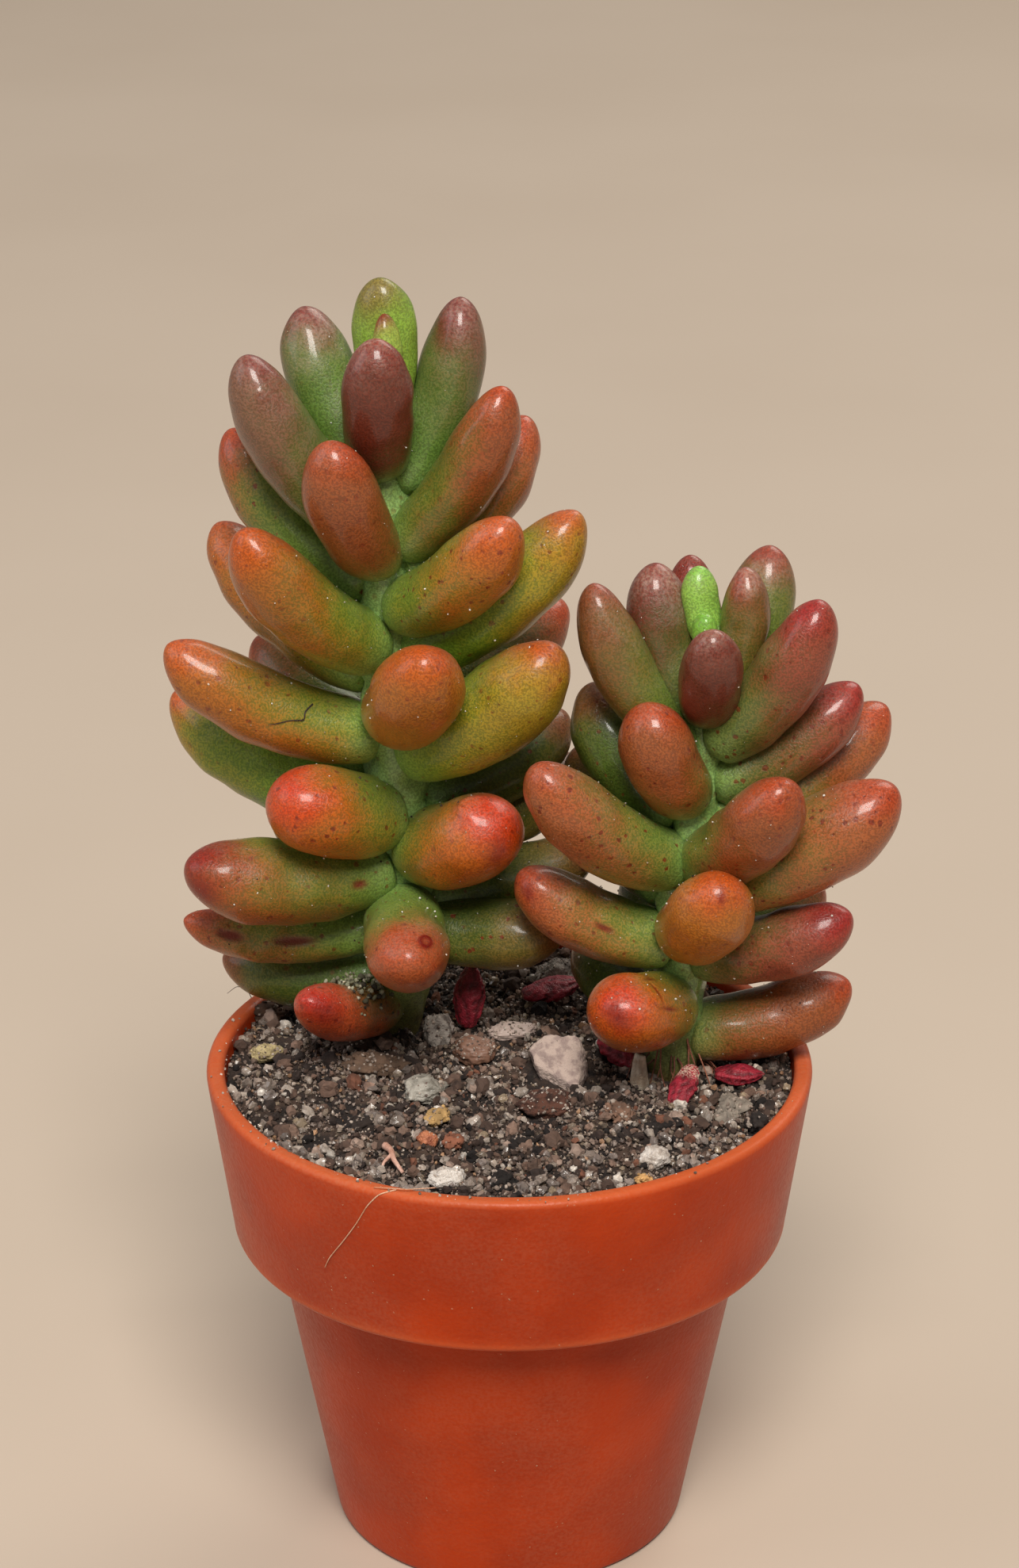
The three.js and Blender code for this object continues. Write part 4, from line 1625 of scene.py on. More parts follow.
    def dusted(
        self, rng: np.random.Generator, count: int, ages: range, upper: float
    ) -> tuple[np.ndarray, np.ndarray]:
        """Choose places on leaves where grains lie.

        Args:
            rng: source of chance.
            count: how many.
            ages: which leaves.
            upper: how much they keep to the upper sides, from 0 to 1.

        Returns:
            (count, 3) places, and the same number of outward headings.
        """
        rows = [row for row in self.rows if row.age in ages]
        places, headings = [], []
        for _ in range(count):
            blade = self.blade(rows[rng.integers(len(rows))])
            t = np.full(2, rng.beta(1.3, 1.5))
            angle = rng.normal(90, 55) if rng.uniform() < upper else rng.uniform(0, 360)
            radius = blade.outline.half_width(t) * blade.width / 2 * [1, 0]
            skin, core = blade.at(t, np.full(2, angle), radius)
            places.append(skin)
            headings.append(skin - core)
        outward = np.array(headings)
        return np.array(places), outward / np.linalg.norm(outward, axis=1, keepdims=True)


def tall_shoot(level: float) -> Shoot:
    """Give the tall left shoot.

    Args:
        level: height of the soil.

    Returns:
        The shoot.
    """
    stem = {
        "height": [0, 6, 25, 38, 46],
        "x": [-8, -7, -7.5, -8, -8.5],
        "y": [7, 5, 4.5, 4, 4],
        "radius": [2, 2.2, 2.1, 1.8, 0.6],
    }
    habit = {
        "age": [-3, 0, 10, 20, 33],
        "height": [44.5, 40.5, 29, 16.5, 3.5],
        "twist": [0, 0, 12, 22, 25],
        "pitch": [85, 70, 45, 20, 0],
        "length": [6.5, 10, 14, 14, 11],
        "width": [2.5, 4.5, 5.5, 5.5, 4.5],
    }
    rows = [
        Row(-3, Tone.TENDER, 0.05, turn=90, width=-0.5),
        Row(-2, Tone.FRESH, 0.05, turn=70, pitch=10, length=1.5, width=1, lift=0.5),
        Row(-1, Tone.PLUM, 0.2, turn=10, pitch=-15, length=2, width=1, lift=-1),
        Row(0, Tone.DUSK, 0.85, lift=0.5),
        Row(1, Tone.PLUM, 0.3, turn=-30, pitch=2, length=2.5),
        Row(2, Tone.PLUM, 0.5, turn=5, pitch=-8, length=3.5, width=0.5, lift=-1.5),
        Row(3, Tone.RUSSET, 0.5, turn=10, pitch=-5, length=2.5, lift=-1.5),
        Row(4, Tone.DUSK, 0.4),
        Row(5, Tone.RUSSET, 0.85, length=-0.5),
        Row(6, Tone.ROSE, 0.55, turn=-10, pitch=-5, length=0.5),
        Row(7, Tone.ROSE, 0.15, pitch=-8, length=1),
        Row(8, Tone.AMBER, 0.45, turn=15, pitch=-10),
        Row(9, Tone.AMBER, 0.4),
        Row(10, Tone.AMBER, 0.5, length=0.5, lift=-0.5),
        Row(11, Tone.OLIVE, 0.35, turn=-10, length=1.5, lift=0.5),
        Row(12, Tone.AMBER, 0.55, turn=15, pitch=-8, length=1),
        Row(13, Tone.AMBER, 0.85, turn=10, length=-1.5, width=0.5, lift=-1),
        Row(14, Tone.ROSE, 0.5, turn=-15, pitch=-15, length=-0.5),
        Row(15, Tone.AMBER, 0.65, pitch=-5, length=1.5, lift=-0.5),
        Row(16, Tone.OLIVE, 0.5, pitch=10, length=0.5, width=1),
        Row(17, Tone.ROSE, 0.5, turn=30, pitch=-5, length=-1, lift=0.5),
        Row(18, Tone.FLAME, 0.5, turn=-20, length=-4, width=1, lift=-2),
        Row(19, Tone.SHADED_MOSS, 0.2, length=-2, lift=-0.5),
        Row(20, Tone.OLIVE, 0.2, turn=-5, length=2.5, width=0.5, lift=0.5),
        Row(21, Tone.FLAME, 0.6, turn=20, pitch=10, length=-4.5, width=1, lift=-1),
        Row(22, Tone.SHADED_MOSS, 0.45, turn=-45, pitch=-5),
        Row(23, Tone.EMBER, 0.4, turn=-10, pitch=-5, length=1, width=1, lift=-0.5),
        Row(24, Tone.SHADED_MOSS, 0.45, turn=-10, pitch=-10, length=-3, lift=-3.5),
        Row(25, Tone.SHADED_MOSS, 0.45),
        Row(26, Tone.ROSE, 0.45, turn=5, pitch=-5, length=-1, width=0.5),
        Row(27, Tone.SHADED_MOSS, 0.45, turn=-30, lift=1),
        Row(28, Tone.ROSE, 0.4, pitch=-5, length=1.5, width=-1),
        Row(30, Tone.SHADED_MOSS, 0.2),
        Row(31, Tone.CRIMSON, 0.6, pitch=20, length=-1, width=-0.5, lift=-3),
        Row(33, Tone.SHADED_MOSS, 0.2, turn=15, length=0.5, lift=1),
    ]
    marks = [
        Mark(-3, Kind.GRAZE, 1, -90, 0.7, 2),
        Mark(2, Kind.BLISTER, 0.85, 0, 0.32, 0.32),
        Mark(28, Kind.SCAR, 0.77, 18, 1, 0.45),
        Mark(28, Kind.SCAR, 0.45, 18, 1.5, 0.4),
        Mark(26, Kind.RING, 0.9, 48, 0.55, 0.5),
        Mark(23, Kind.GRAZE, 0.93, -42, 0.9, 1.1),
        Mark(23, Kind.SCAR, 0.21, 12, 0.6, 0.35),
        Mark(31, Kind.GRAZE, 0.9, -18, 1.3, 1.3),
        Mark(21, Kind.KNOB, 0.9, 118, 0.9, 1.2),
        Mark(21, Kind.GRAZE, 0.86, -120, 0.9, 0.9),
    ]
    return Shoot("tall_shoot", level, stem, habit, rows, marks, seed=1000)


def short_shoot(level: float) -> Shoot:
    """Give the short right shoot.

    Args:
        level: height of the soil.

    Returns:
        The shoot.
    """
    stem = {
        "height": [0, 12, 24, 31],
        "x": [10.7, 11.5, 12.5, 13],
        "y": [0.5, 0.5, 0.5, 0.5],
        "radius": [1.8, 1.8, 1.4, 0.4],
    }
    habit = {
        "age": [-4, -2, 2, 10, 20],
        "height": [30.5, 27.5, 24, 15, 3.5],
        "twist": [0, 0, 0, 8, 15],
        "pitch": [75, 75, 60, 40, 10],
        "length": [3.5, 8, 11, 13, 10],
        "width": [2.5, 4, 5, 5.5, 4.5],
    }
    rows = [
        Row(-4, Tone.BUD, 0, turn=45, length=1.5, lift=-0.5),
        Row(-3, Tone.BUD, 0, pitch=10, length=-3, width=-1.5, lift=0.5),
        Row(-2, Tone.BRONZE, 0.4, pitch=5, length=1, width=-0.5, lift=-1),
        Row(-1, Tone.DUSK, 0.55, turn=15, length=1.5, width=0.5, lift=-1.5),
        Row(0, Tone.DUSK, 0.95, pitch=-10, length=-1, width=-0.5),
        Row(1, Tone.BRONZE, 0.2, turn=-5, length=1, lift=0.5),
        Row(2, Tone.BRONZE, 0.4, turn=-5, length=2, width=-0.5, lift=-1),
        Row(3, Tone.WINE, 0.5, turn=15, length=1.5, lift=0.5),
        Row(4, Tone.DUSK, 0.6, turn=-5, pitch=10, length=1, width=-1, lift=1),
        Row(5, Tone.RUSSET, 0.8, turn=-15, pitch=10, length=-3, lift=-1),
        Row(6, Tone.WINE, 0.5, turn=-15, pitch=-15, length=-0.5, width=-0.5, lift=1),
        Row(7, Tone.SHADED_MOSS, 0.05, turn=-10, length=-1.5, width=0.5, lift=-0.5),
        Row(8, Tone.RUSSET, 0.65, turn=10, length=-0.5, lift=-2),
        Row(9, Tone.ROSE, 0.7, turn=-55, pitch=-15, length=1.5, lift=1.5),
        Row(10, Tone.ROSE, 0.5, turn=-5, length=1),
        Row(11, Tone.ROSE, 0.65, turn=-5, pitch=-5, length=2, width=1),
        Row(12, Tone.SHADED_MOSS, 0.2),
        Row(13, Tone.AMBER, 0.85, turn=15, pitch=10, length=-2, width=0.5, lift=-1),
        Row(14, Tone.ROSE, 0.4, turn=-15, pitch=-20, length=-1.5, lift=-1),
        Row(15, Tone.ROSE, 0.6, turn=5, pitch=5),
        Row(16, Tone.WINE, 0.75, turn=20, lift=0.5),
        Row(17, Tone.SHADED_MOSS, 0.2),
        Row(18, Tone.FLAME, 0.65, pitch=5, length=-2, width=1, lift=-0.5),
        Row(19, Tone.RUSSET, 0.95, turn=-15, pitch=5, length=1, width=0.5, lift=-2),
        Row(20, Tone.SHADED_MOSS, 0.2, turn=-30),
    ]
    marks = [
        Mark(18, Kind.CRACK, 0.5, 108, 0.14, 1.3),
        Mark(18, Kind.CRACK, 0.6, 75, 0.9, 0.12),
        Mark(18, Kind.CRACK, 0.7, 48, 0.14, 0.9),
        Mark(18, Kind.CRACK, 0.6, 20, 1.1, 0.12),
        Mark(18, Kind.GRAZE, 0.97, -48, 0.8, 0.9),
        Mark(15, Kind.SCAR, 0.46, 18, 0.8, 0.25),
        Mark(15, Kind.GRAZE, 0.93, -18, 0.6, 0.5),
        Mark(16, Kind.GRAZE, 0.9, 138, 1, 0.8),
        Mark(13, Kind.GRAZE, 0.97, -96, 0.3, 0.3),
    ]
    return Shoot("short_shoot", level, stem, habit, rows, marks, seed=2000)


# ---- Stones, fallen leaves and roots ---------------------------------------------------------


@dataclass
class Stone:
    """A broken stone that lies partly sunk in the soil.

    Attributes:
        name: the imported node's name.
        centre: x and y.
        half: half sizes along its own axes.
        turn: about +Z.
        lift: height of its middle above the soil.
        seed: of its shape.
        finish: its stone.
        worn: how rounded its edges are, small for sharp ones.
        hollow: heading [x, y, z] and half width of a dark hollow, if it has one.
        planes: number of its flat sides.
        nearest: distance of the nearest side, as a share of the half size.
        reach: how far it may bulge past its half sizes.
        scatter: degrees that a side may lie off its even turn.
    """

    name: str
    centre: tuple[float, float]
    half: Spot
    turn: float
    lift: float
    seed: int
    finish: Rock
    worn: float = 0.05
    hollow: tuple[float, float, float, float] | None = None
    planes: int = 12
    nearest: float = 0.78
    reach: float = 1.12
    scatter: float = 50.0

    def _chances(self) -> np.ndarray:
        """Reckon the stone's own even chances, as the part's source does.

        Returns:
            (planes, 2) values from 0 to 1.
        """
        first, factor, addend, whole = 7919, 1664525, 1013904223, 2**32
        state = self.seed * first
        values = []
        for _ in range(2 * self.planes):
            state = (state * factor + addend) % whole
            values.append(state / whole)
        return np.array(values).reshape(-1, 2)

    def lying(self, soil: Soil) -> Surface:
        """Shape the stone and lay it in the soil.

        Args:
            soil: what it lies in.

        Returns:
            The closed stone in its place.
        """
        unit = ball(5)
        count = np.arange(self.planes)
        aside, further = self._chances().T
        height = 1 - 2 * (count + 0.5) / self.planes
        angle = np.radians(GOLDEN_ANGLE * count + self.scatter * aside)
        level = np.sqrt(1 - height * height)
        headings = np.stack([level * np.cos(angle), level * np.sin(angle), height], -1)
        distances = self.nearest + (1 - self.nearest) * further
        far = faceted(unit, headings, distances, self.worn, self.reach)
        rough = 0.035 * ripple(unit.points, 0.5, self.seed)
        far *= 1 + rough + 0.02 * ripple(unit.points, 0.16, self.seed + 1)
        if self.hollow:
            away = np.linalg.norm(unit.points - np.array(self.hollow[:3]), axis=1) / self.hollow[3]
            far *= 1 - 0.38 * np.exp(-(away**4))
        points = spun(unit.points * far[:, None] * np.array(self.half), self.turn)
        middle = [*self.centre, soil.swell(*self.centre) + self.lift]
        return Surface(points + middle, tris=unit.tris)

    def build(self, soil: Soil) -> None:
        """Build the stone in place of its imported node."""
        add(self.lying(soil), f"{self.name}_piece", self.finish, self.name)

    def footprint(self) -> Spot:
        """Give the circle that loose grains keep out of."""
        return (*self.centre, 0.8 * max(self.half[:2]))


@dataclass
class Wedge:
    """The pale wedge of pumice, broken along flat sides.

    Attributes:
        corners: its corners, as x, y and height above the soil.
        level: height of the soil.
        finish: its stone.
        worn: how rounded its edges are.
    """

    corners: list[Spot]
    level: float
    finish: Rock
    worn: float = 0.13

    def build(self) -> None:
        """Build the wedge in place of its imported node."""
        bm = bmesh.new()
        for x, y, above in self.corners:
            bm.verts.new((x, y, self.level + above))
        bmesh.ops.convex_hull(bm, input=bm.verts)
        bm.normal_update()
        middle = np.mean([list(v.co) for v in bm.verts], axis=0)
        headings = np.array([list(f.normal) for f in bm.faces])
        centres = np.array([list(f.calc_center_median()) for f in bm.faces]) - middle
        bm.free()
        unit = ball(6)
        distances = np.array([centre @ heading for centre, heading in zip(centres, headings)])
        points = unit.points * faceted(unit, headings, distances, self.worn)[:, None]
        grain = 0.03 * ripple(points, 1.0, 81) + 0.015 * ripple(points, 0.35, 82)
        grain += 0.008 * ripple(points, 0.15, 83)
        points = points + unit.points * grain[:, None] + middle
        add(Surface(points, tris=unit.tris), "pumice_stone_piece", self.finish, "pumice_stone")


@dataclass(frozen=True)
class FallenLeaf:
    """A shrunken dry leaf on the soil.

    Attributes:
        name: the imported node's name.
        body: its body, with the height of its root given above the soil.
        torn: share of pale husk at its stem end.
        folds: number of folds along it.
    """

    name: str
    body: Blade
    torn: float = 0.0
    folds: int = 5

    def build(self, level: float) -> None:
        """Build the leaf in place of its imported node.

        Args:
            level: height of the soil.
        """
        x, y, above = self.body.root
        blade = replace(self.body, root=(x, y, level + above))
        t, angle, radius = blade.net(64, 64)
        plain = blade.at(t, angle, radius)
        seed = abs(int(blade.length * 10 + blade.azimuth))
        fine = ripple(plain, 0.4, seed + 1)
        twist = 40 * t + 25 * ripple(plain, 2.5, seed)
        ridge = np.cos(np.radians(self.folds * (angle + twist)))
        rings = blade.at(t, angle, radius * (0.95 + 0.045 * ridge + 0.03 * fine))
        husk = np.clip((0.35 * self.torn - t) / 0.12, 0, 1) + np.clip((t - 0.93) / 0.05, 0, 1) * 0.6
        # the fold height also sets the painted shade in the furrows
        leaf = blade.closed(rings).painted(
            ridge=np.concatenate([[0], (0.8 * ridge + 0.4 * fine).ravel(), [0]]),
            husk=np.concatenate([[1], np.clip(husk, 0, 1).ravel(), [1]]),
        )
        add(leaf, f"{self.name}_piece", RED_HUSK, self.name)


@dataclass
class Roots:
    """The broken root end, fine rootlets of the short shoot and a loose pinkish root.

    Attributes:
        soil: what they stand in.
        foot: x and y of the root end.
        radius: of the root end at the soil.
        tip_radius: at its broken tip.
        height: to the shoulder of the tip.
        tip: from there to its point.
        sunk: depth of its foot.
        lean: degrees towards the front.
        count: number of rootlets.
    """

    soil: Soil
    foot: tuple[float, float] = (8.5, -2.0)
    radius: float = 0.62
    tip_radius: float = 0.38
    height: float = 2.3
    tip: float = 0.3
    sunk: float = 1.4
    lean: float = 14.0
    count: int = 16

    def _end(self) -> None:
        """Build the root end, ridged along its length and split at its tip."""
        sides = 40
        share = np.linspace(0, 1, 44)[:, None]
        rise = -self.sunk + share * (self.sunk + self.height)
        sizes = [self.radius, self.radius, self.tip_radius]
        radii = np.interp(rise, [-self.sunk, 0, self.height], sizes)
        angle = 2 * np.pi * np.arange(sides) / sides
        flat = radii * (1 + 0.09 * np.cos(5 * angle + 1.2 * share) + 0.04 * np.cos(11 * angle))
        level = np.repeat(rise, sides, 1)
        rings = np.stack([flat * np.cos(angle), flat * np.sin(angle), level], -1)
        rings[..., 2] += np.clip(share - 0.9, 0, 1) * 3.0 * self.tip * np.cos(3 * angle)
        c, s = np.cos(np.radians(self.lean)), np.sin(np.radians(self.lean))
        tilt = np.array([[1, 0, 0], [0, c, s], [0, -s, c]])
        foot = np.array([*self.foot, self.soil.swell(*self.foot)])
        low = np.array([0, 0, -self.sunk]) @ tilt + foot
        high = np.array([0, 0, self.height + 0.4 * self.tip]) @ tilt + foot
        add(lofted(rings @ tilt + foot, low, high), "root_end_piece", ROOT_BARK, "root_end")

    def build(self, shoot: Shoot) -> None:
        """Build them.

        Args:
            shoot: the short shoot, whose stem the rootlets grow from.
        """
        self._end()
        rng = np.random.default_rng(91)
        level = self.soil.level
        strands: list[Surface] = []
        for i in range(self.count):
            heading = np.radians(-150 + 9 * i + rng.normal(0, 8))
            start = rng.uniform(1.0, 4.2)
            middle = np.array([shoot.on_stem("x", start), shoot.on_stem("y", start)])
            grip = 0.9 * shoot.on_stem("radius", start)
            reach = rng.uniform(2.6, 4.2)
            out = np.array([np.cos(heading), np.sin(heading)])
            near = middle + out * (0.45 * reach + 0.5) + rng.normal(0, 0.3, 2)
            far = middle + out * 0.85 * reach + rng.normal(0, 0.3, 2)
            foot = middle + out * reach
            line = [
                (*(middle + out * grip), level + start),
                (*near, level + 0.75 * start),
                (*far, level + 0.3 * start),
                (*foot, float(self.soil.height(*foot)) - 0.15),
            ]
            strands.append(strand(line, 0.085, 0.035))
        pink = [(-7.9, -11.9, 0.7), (-7.5, -12.6, 0.75), (-7.3, -13.6, 0.6), (-6.7, -14.4, 0.1)]
        fork = [(-7.4, -13.0, 0.7), (-7.9, -13.7, 0.5), (-8.2, -14.4, 0.0)]
        loose = [
            strand([(x, y, level + z) for x, y, z in line], thick, thin)
            for line, thick, thin in ((pink, 0.26, 0.12), (fork, 0.15, 0.06))
        ]
        add(joined(strands), "rootlets", ROOTLET)
        add(joined(loose), "loose_root", LOOSE_ROOT)


# ---- Dust and debris -------------------------------------------------------------------------


@dataclass
class Debris:
    """Grains on the stones, the leaves and the rim, and loose fibres on the pot.

    Attributes:
        pot: the pot.
        soil: the soil.
        shoots: the tall shoot and the short one.
        rocks: the stones.
    """

    pot: Pot
    soil: Soil
    shoots: list[Shoot]
    rocks: list[Stone]

    def _on_stones(self) -> None:
        """Lay sand on the dull stones, so that they sit in the mix."""
        rng = np.random.default_rng(121)
        tints = {"97867a": 4, "b3a396": 3, "cfc2b6": 1, "5e4d44": 3}
        made = []
        for rock in self.rocks:
            points = rock.lying(self.soil).points
            upper = points[points[:, 2] > points[:, 2].mean()]
            crowd = 70 if rock.finish.roughness > 0.6 else 16
            count = int(crowd * rock.half[0] * rock.half[1])
            radii = 0.04 + 0.12 * rng.uniform(0, 1, count) ** 2
            chosen = upper[rng.integers(len(upper), size=count)]
            made.append(grains(rng, chosen, radii, tints, ball(1)))
        add(joined(made), "sand_on_stones", SAND, smooth=False)

    def _on_leaves(self) -> None:
        """Lay pale sand and dark crumbs on the leaves, and a small heap on a low one."""
        tall, short = self.shoots
        rng = np.random.default_rng(101)
        pale = {"e8e2d8": 4, "cfc4b4": 3, "b9a68c": 2}
        dark = {"2a201b": 3, "46372d": 2, "6e5c4b": 1}
        old, young = range(8, 40), range(-2, 8)
        sown = [(tall, 900, old), (tall, 160, young), (short, 700, old), (short, 110, young)]
        found = [shoot.dusted(rng, count, ages, 0.45) for shoot, count, ages in sown]
        spots, outward = (np.concatenate(part) for part in zip(*found))
        radii = 0.025 + 0.075 * rng.uniform(0, 1, len(spots)) ** 3.0
        sand = grains(rng, spots + outward * 0.4 * radii[:, None], radii, pale, ball(1))
        add(sand, "sand_on_leaves", QUARTZ)
        found = [
            tall.dusted(rng, 150, range(17, 30), 0.8),
            short.dusted(rng, 60, range(10, 30), 0.8),
        ]
        spots, outward = (np.concatenate(part) for part in zip(*found))
        radii = 0.03 + 0.09 * rng.uniform(0, 1, len(spots)) ** 2.5
        crumbs = [grains(rng, spots + outward * 0.3 * radii[:, None], radii, dark, ball(1))]
        count = 150
        t = rng.uniform(0.1, 0.62, count)
        skin = tall.on_leaf(31, t, rng.normal(95, 34, count))
        heap = rng.uniform(0, 1.1, count) * (1 - np.abs(t - 0.34) / 0.36)
        skin[:, 2] += heap
        grey = {"7c7a60": 3, "9a9880": 3, "5c5844": 2, "3a342a": 1, "bcb49e": 1.5}
        radii = 0.1 + 0.2 * rng.uniform(0, 1, count) ** 2
        crumbs.append(grains(rng, skin, radii, grey, ball(1)))
        add(joined(crumbs), "crumbs_on_leaves", PEAT_CRUMBS)

    def _on_rim(self) -> None:
        """Lay sand on the rim, most of it at the front."""
        rng = np.random.default_rng(111)
        count = 190
        front, around = rng.normal(-125, 38, count), rng.uniform(0, 360, count)
        heading = np.radians(np.where(rng.uniform(0, 1, count) < 0.6, front, around))
        inner = self.pot.rim_radius - self.pot.wall
        far = inner + self.pot.wall * rng.beta(0.8, 1.8, count) - 0.05
        radii = 0.03 + 0.12 * rng.uniform(0, 1, count) ** 2.5
        round_off = np.clip(inner + self.pot.rim_round - far, 0, 1) * 0.8
        height = self.pot.height + 0.5 * radii - round_off
        spots = np.stack([far * np.cos(heading), far * np.sin(heading), height], -1)
        tints = {"c4b4a4": 4, "a29284": 3, "ddd2c6": 2.5, "6a5b50": 1.5}
        add(grains(rng, spots, radii, tints, ball(1)), "sand_on_rim", SAND, smooth=False)

    def _fibres(self) -> None:
        """Lay a pale fibre over the rim and down the collar, and dark hairs."""
        height = np.array([32.2, 30.6, 28.9, 27.2, 26.3])
        heading = np.radians([-116.4, -119.0, -122.4, -126.2, -127.6])
        far = self.pot.outer_radius(height) + 0.09
        down = [(-7.0, -18.3, 33.6), (-8.1, -18.35, 33.3)]
        down += zip(far * np.cos(heading), far * np.sin(heading), height)
        along = [(-4.6, -18.1, 33.62), (-6.3, -18.5, 33.72), (-8.4, -18.0, 33.6)]
        pale = [strand(down, 0.045, 0.03, 40), strand(along, 0.035, 0.025)]
        add(joined(pale), "pale_fibre", FINE_FIBRE)
        long = [(-17.0, 9.6, 33.2), (-17.9, 9.9, 33.7), (-18.7, 9.8, 33.9), (-19.3, 9.3, 33.6)]
        short = [(-17.6, 9.2, 33.2), (-18.2, 9.9, 34.2), (-18.3, 10.6, 34.6)]
        t = np.array([0.34, 0.37, 0.36, 0.42, 0.47, 0.5])
        angle = np.array([50.0, 34.0, 22.0, 16.0, 4.0, -2.0])
        squiggle = [tuple(point) for point in self.shoots[0].on_leaf(15, t, angle, 0.04)]
        lines = ((long, 0.035, 0.015), (short, 0.03, 0.015), (squiggle, 0.06, 0.02))
        dark = [strand(line, thick, thin) for line, thick, thin in lines]
        add(joined(dark), "dark_hairs", DARK_HAIR)

    def build(self) -> None:
        """Build all of it."""
        for lay in (self._on_stones, self._on_leaves, self._on_rim, self._fibres):
            lay()


# ---- Studio ----------------------------------------------------------------------------------


@dataclass
class Studio:
    """Pale floor, soft light and the camera.

    Attributes:
        camera_place: in metres.
        camera_pitch: degrees from looking straight down.
        lens: in millimetres.
        sensor: its width in millimetres.
        floor_size: in metres.
        aim: middle of the plant, in metres.
        lamps: name, place and side in metres, power in watts and colour of each light.
        sky: colour and strength of the light from all round.
    """

    camera_place: Spot = (0.0, -0.23177, 0.15133)
    camera_pitch: float = 67.03
    lens: float = 90.0
    sensor: float = 36.0
    floor_size: float = 4.0
    aim: Spot = (0.0, 0.0, 0.05)
    lamps: tuple[tuple[str, Spot, float, float, str], ...] = (
        ("key_light", (0.04, -0.6, 0.88), 0.4, 12.2, "fffaf2"),
        ("fill_light", (-0.75, -0.1, 0.5), 0.6, 1.9, "f6f8ff"),
        ("back_light", (0.35, 0.6, 0.7), 0.5, 3.2, "fff6ea"),
    )
    sky: tuple[str, float] = ("f4f1ec", 0.2)

    def _light(self) -> None:
        """Hang the square soft lights, each facing the plant, and light the room."""
        for name, spot, size, power, tint in self.lamps:
            lamp = bpy.data.lights.new(name, "AREA")
            lamp.shape = "SQUARE"
            lamp.size = size
            lamp.energy = power
            lamp.color = paint(tint)[:3]
            hung = bpy.data.objects.new(name, lamp)
            hung.location = spot
            towards = Vector(self.aim) - Vector(spot)
            hung.rotation_euler = towards.to_track_quat("-Z", "Y").to_euler()
            bpy.context.scene.collection.objects.link(hung)
        world = bpy.data.worlds.new("soft_room")
        world.use_nodes = True
        room = world.node_tree.nodes["Background"]
        room.inputs["Color"].default_value = paint(self.sky[0])
        room.inputs["Strength"].default_value = self.sky[1]
        bpy.context.scene.world = world

    def build(self) -> None:
        """Set up the floor, the lights and the camera."""
        half = self.floor_size / 2 / MM
        corners = half * np.array([[-1, -1, 0], [1, -1, 0], [1, 1, 0], [-1, 1, 0]], float)
        finish = Tabletop("pale_floor", "")
        sheet = Surface(corners, quads=np.array([[0, 1, 2, 3]]))
        floor = sheet.make(finish.name, finish.material())
        self._light()
        scene = bpy.context.scene
        scene.view_settings.view_transform = "Standard"
        camera = bpy.data.cameras.new("camera")
        camera.lens = self.lens
        camera.sensor_width = self.sensor
        camera.clip_start = 0.005
        eye = bpy.data.objects.new("camera", camera)
        eye.location = self.camera_place
        eye.rotation_euler = (float(np.radians(self.camera_pitch)), 0.0, 0.0)
        scene.collection.objects.link(eye)
        scene.camera = eye


# ---- The plant in its pot --------------------------------------------------------------------


def rock(name: str, slot: str, light: str, dark: str, fleck: str, **values: float) -> Rock:
    """Give a stone's finish from hex colours."""
    return Rock(name, slot, paint(light), paint(dark), paint(fleck), **values)


def stones() -> list[Stone]:
    """Give the stones that lie on the soil, all but the wedge of pumice.

    Returns:
        The stones.
    """
    pale, brown = "pale_stone", "brown_stone"
    grey = rock("grey_stone", pale, "a0968d", "6b625b", "3f3833", pits=0.09)
    plain = rock("pale_stone", pale, "b5a699", "84766b", "5d5049")
    bark = rock("bark", brown, "5a382b", "2c1a14", "1c110d", roughness=0.9, pits=0.15)
    dull = rock("brown_stone", brown, "7d6050", "4e3b31", "2c211c", pits=0.1)
    clear = {"roughness": 0.25, "pits": 0.02, "glass": 0.35}
    glass = rock("pale_quartz", pale, "d6cdc4", "b4a79b", "958678", **clear)
    cloudy = {"roughness": 0.4, "pits": 0.04, "glass": 0.3}
    smoke = rock("grey_quartz", pale, "a9a398", "7f7a70", "5e5951", **cloudy)
    orange = rock("orange_stone", brown, "c27a56", "93513a", "6d3a2a", roughness=0.55)
    yellow = rock("yellow_stone", pale, "b5a478", "8b7b58", "6d5f45")
    pit = (-0.72, -0.3, 0.62, 0.34)
    return [
        Stone("pitted_stone", (-4.8, 4.7), (1.2, 1.0, 1.3), 60, 0.6, 8, grey, hollow=pit),
        Stone("flat_pale_stone", (0.1, 4.9), (1.6, 0.8, 0.6), 12, 0.3, 5, plain),
        Stone("bark_lump", (2.4, -5.2), (1.9, 1.2, 0.95), 8, 0.3, 13, bark),
        Stone("brown_pebble", (-2.3, 2.0), (1.5, 1.2, 0.95), -20, 0.35, 17, dull),
        Stone("white_quartz", (9.2, -12.5), (0.95, 0.85, 0.8), 40, 0.35, 19, glass),
        Stone("grey_quartz", (-5.7, -3.4), (1.5, 1.3, 0.8), 75, 0.25, 23, smoke),
        Stone("clear_quartz", (-3.9, -15.2), (1.2, 0.8, 0.7), 15, 0.25, 29, glass),
        Stone("orange_pebble", (-5.2, -10.6), (0.7, 0.6, 0.65), 0, 0.3, 31, orange, worn=0.12),
        Stone("yellow_stone", (-16.2, 1.6), (1.2, 0.7, 0.65), 5, 0.3, 37, yellow),
        Stone("back_stone", (3.4, 13.2), (1.7, 1.2, 1.3), 30, 0.5, 43, grey),
    ]


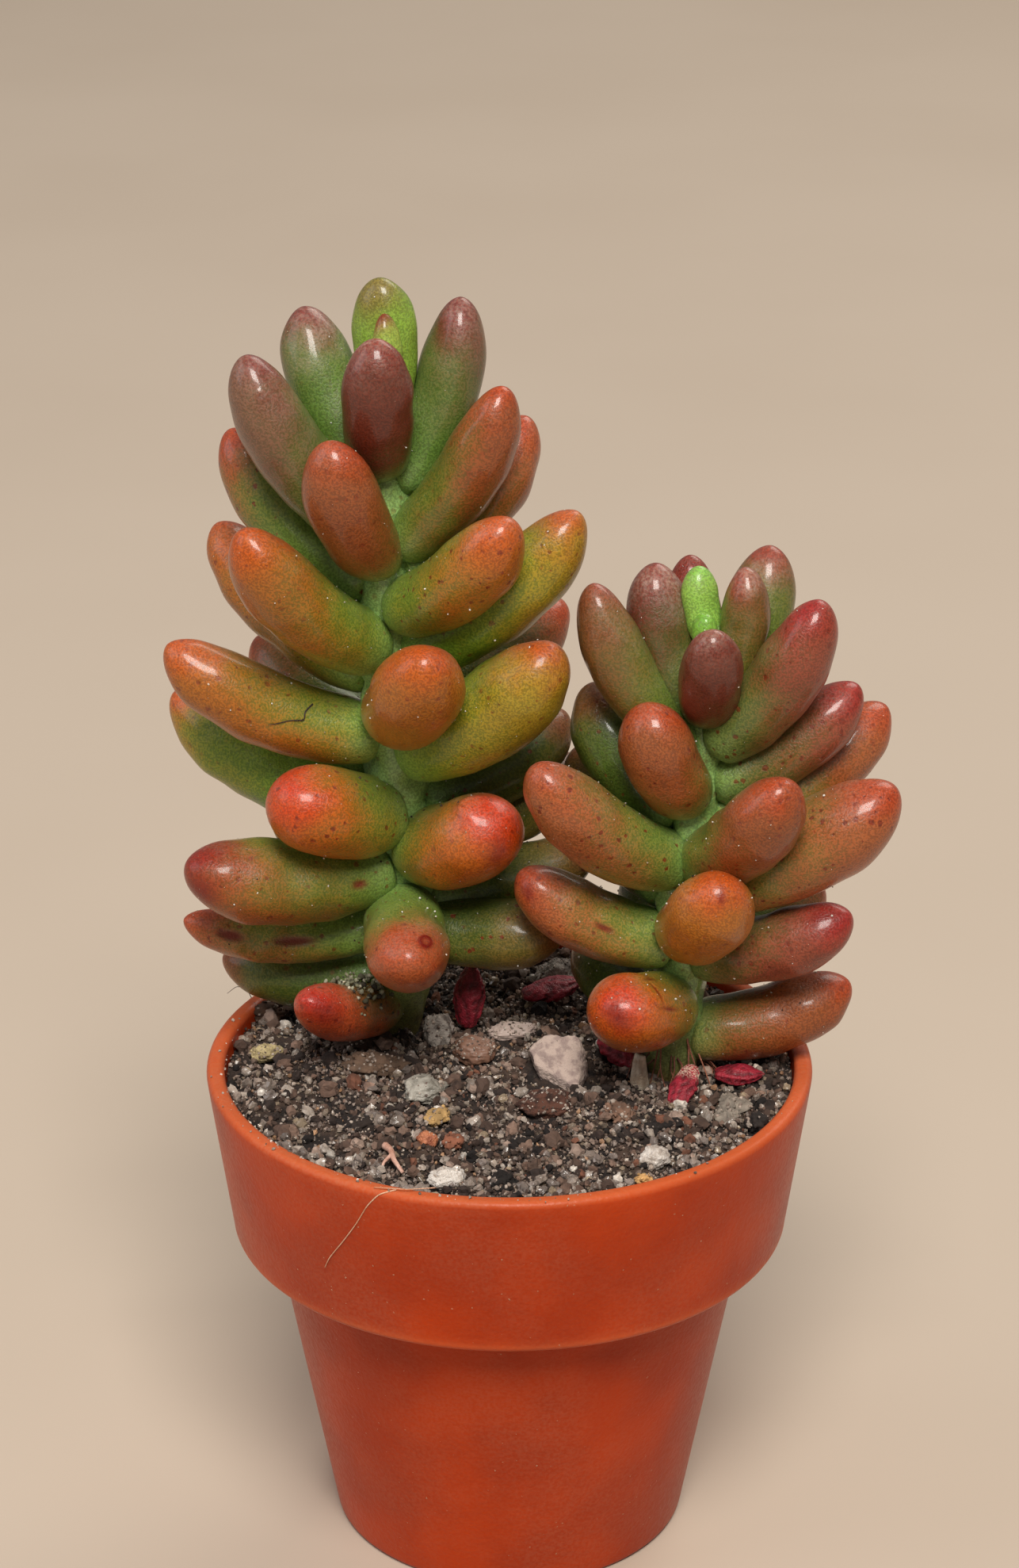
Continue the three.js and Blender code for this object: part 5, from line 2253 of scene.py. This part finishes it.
def pumice(level: float) -> Wedge:
    """Give the wedge of pumice.

    Args:
        level: height of the soil.

    Returns:
        The wedge.
    """
    upper = [(1.2, -0.4, 1.8), (2.5, 0.5, 2.5), (4.7, 0.4, 2.3), (5.3, -0.7, 0.8), (4.5, -3.3, 0.3)]
    upper += [(1.6, -1.5, 1.1)]
    sunk = [(1.4, 1.7), (5.0, 1.9), (5.3, -0.6), (4.3, -3.0), (2.0, -1.3)]
    finish = rock("pumice", "pale_stone", "bba69b", "94807a", "6e5c55", roughness=0.9, pits=0.05)
    return Wedge(upper + [(x, y, -0.6) for x, y in sunk], level, finish)


def fallen_leaves() -> list[FallenLeaf]:
    """Give the dry leaves on the soil.

    Returns:
        All of them.
    """
    spear = Blade((-2.9, 5.6, 0.35), 60, 78, 4.6, 2.4, 0.55, -14, SHRUNKEN)
    back = Blade((0.9, 9.4, 0.9), 15, 8, 4.4, 2.6, 0.55, 10, SHRUNKEN)
    middle = Blade((6.2, 2.1, 1.25), -52, -10, 3.9, 2.4, 0.6, -10, SHRUNKEN)
    front = Blade((12.0, -2.4, 1.5), -112, -20, 4.2, 1.9, 0.55, 12, SHRUNKEN)
    side = Blade((13.5, -1.8, 0.6), 0, 0, 3.3, 2.1, 0.6, 8, SHRUNKEN)
    return [
        FallenLeaf("dry_leaf_spear", spear),
        FallenLeaf("dry_leaf_back", back),
        FallenLeaf("dry_leaf_middle", middle),
        FallenLeaf("dry_leaf_front", front, torn=1.0),
        FallenLeaf("dry_leaf_side", side),
    ]


def main() -> None:
    """Build the plant piece by piece, then the studio round it."""
    logging.basicConfig(level=logging.INFO, format="%(message)s")
    pot = Pot()
    soil = Soil(pot)
    shoots = [tall_shoot(soil.level), short_shoot(soil.level)]
    rocks = stones()
    wedge_and_root = [(3.3, -0.3, 2.3), (8.5, -2.0, 0.6)]
    stems = [tuple(shoot.stem[key][0] for key in ("x", "y", "radius")) for shoot in shoots]
    soil.keep_off = [stone.footprint() for stone in rocks] + wedge_and_root + stems
    pot.build()
    soil.build()
    for shoot in shoots:
        shoot.build()
    for stone in rocks:
        stone.build(soil)
    pumice(soil.level).build()
    for leaf in fallen_leaves():
        leaf.build(soil.level)
    Roots(soil).build(shoots[1])
    Debris(pot, soil, shoots, rocks).build()
    Studio().build()


if __name__ == "__main__":
    main()
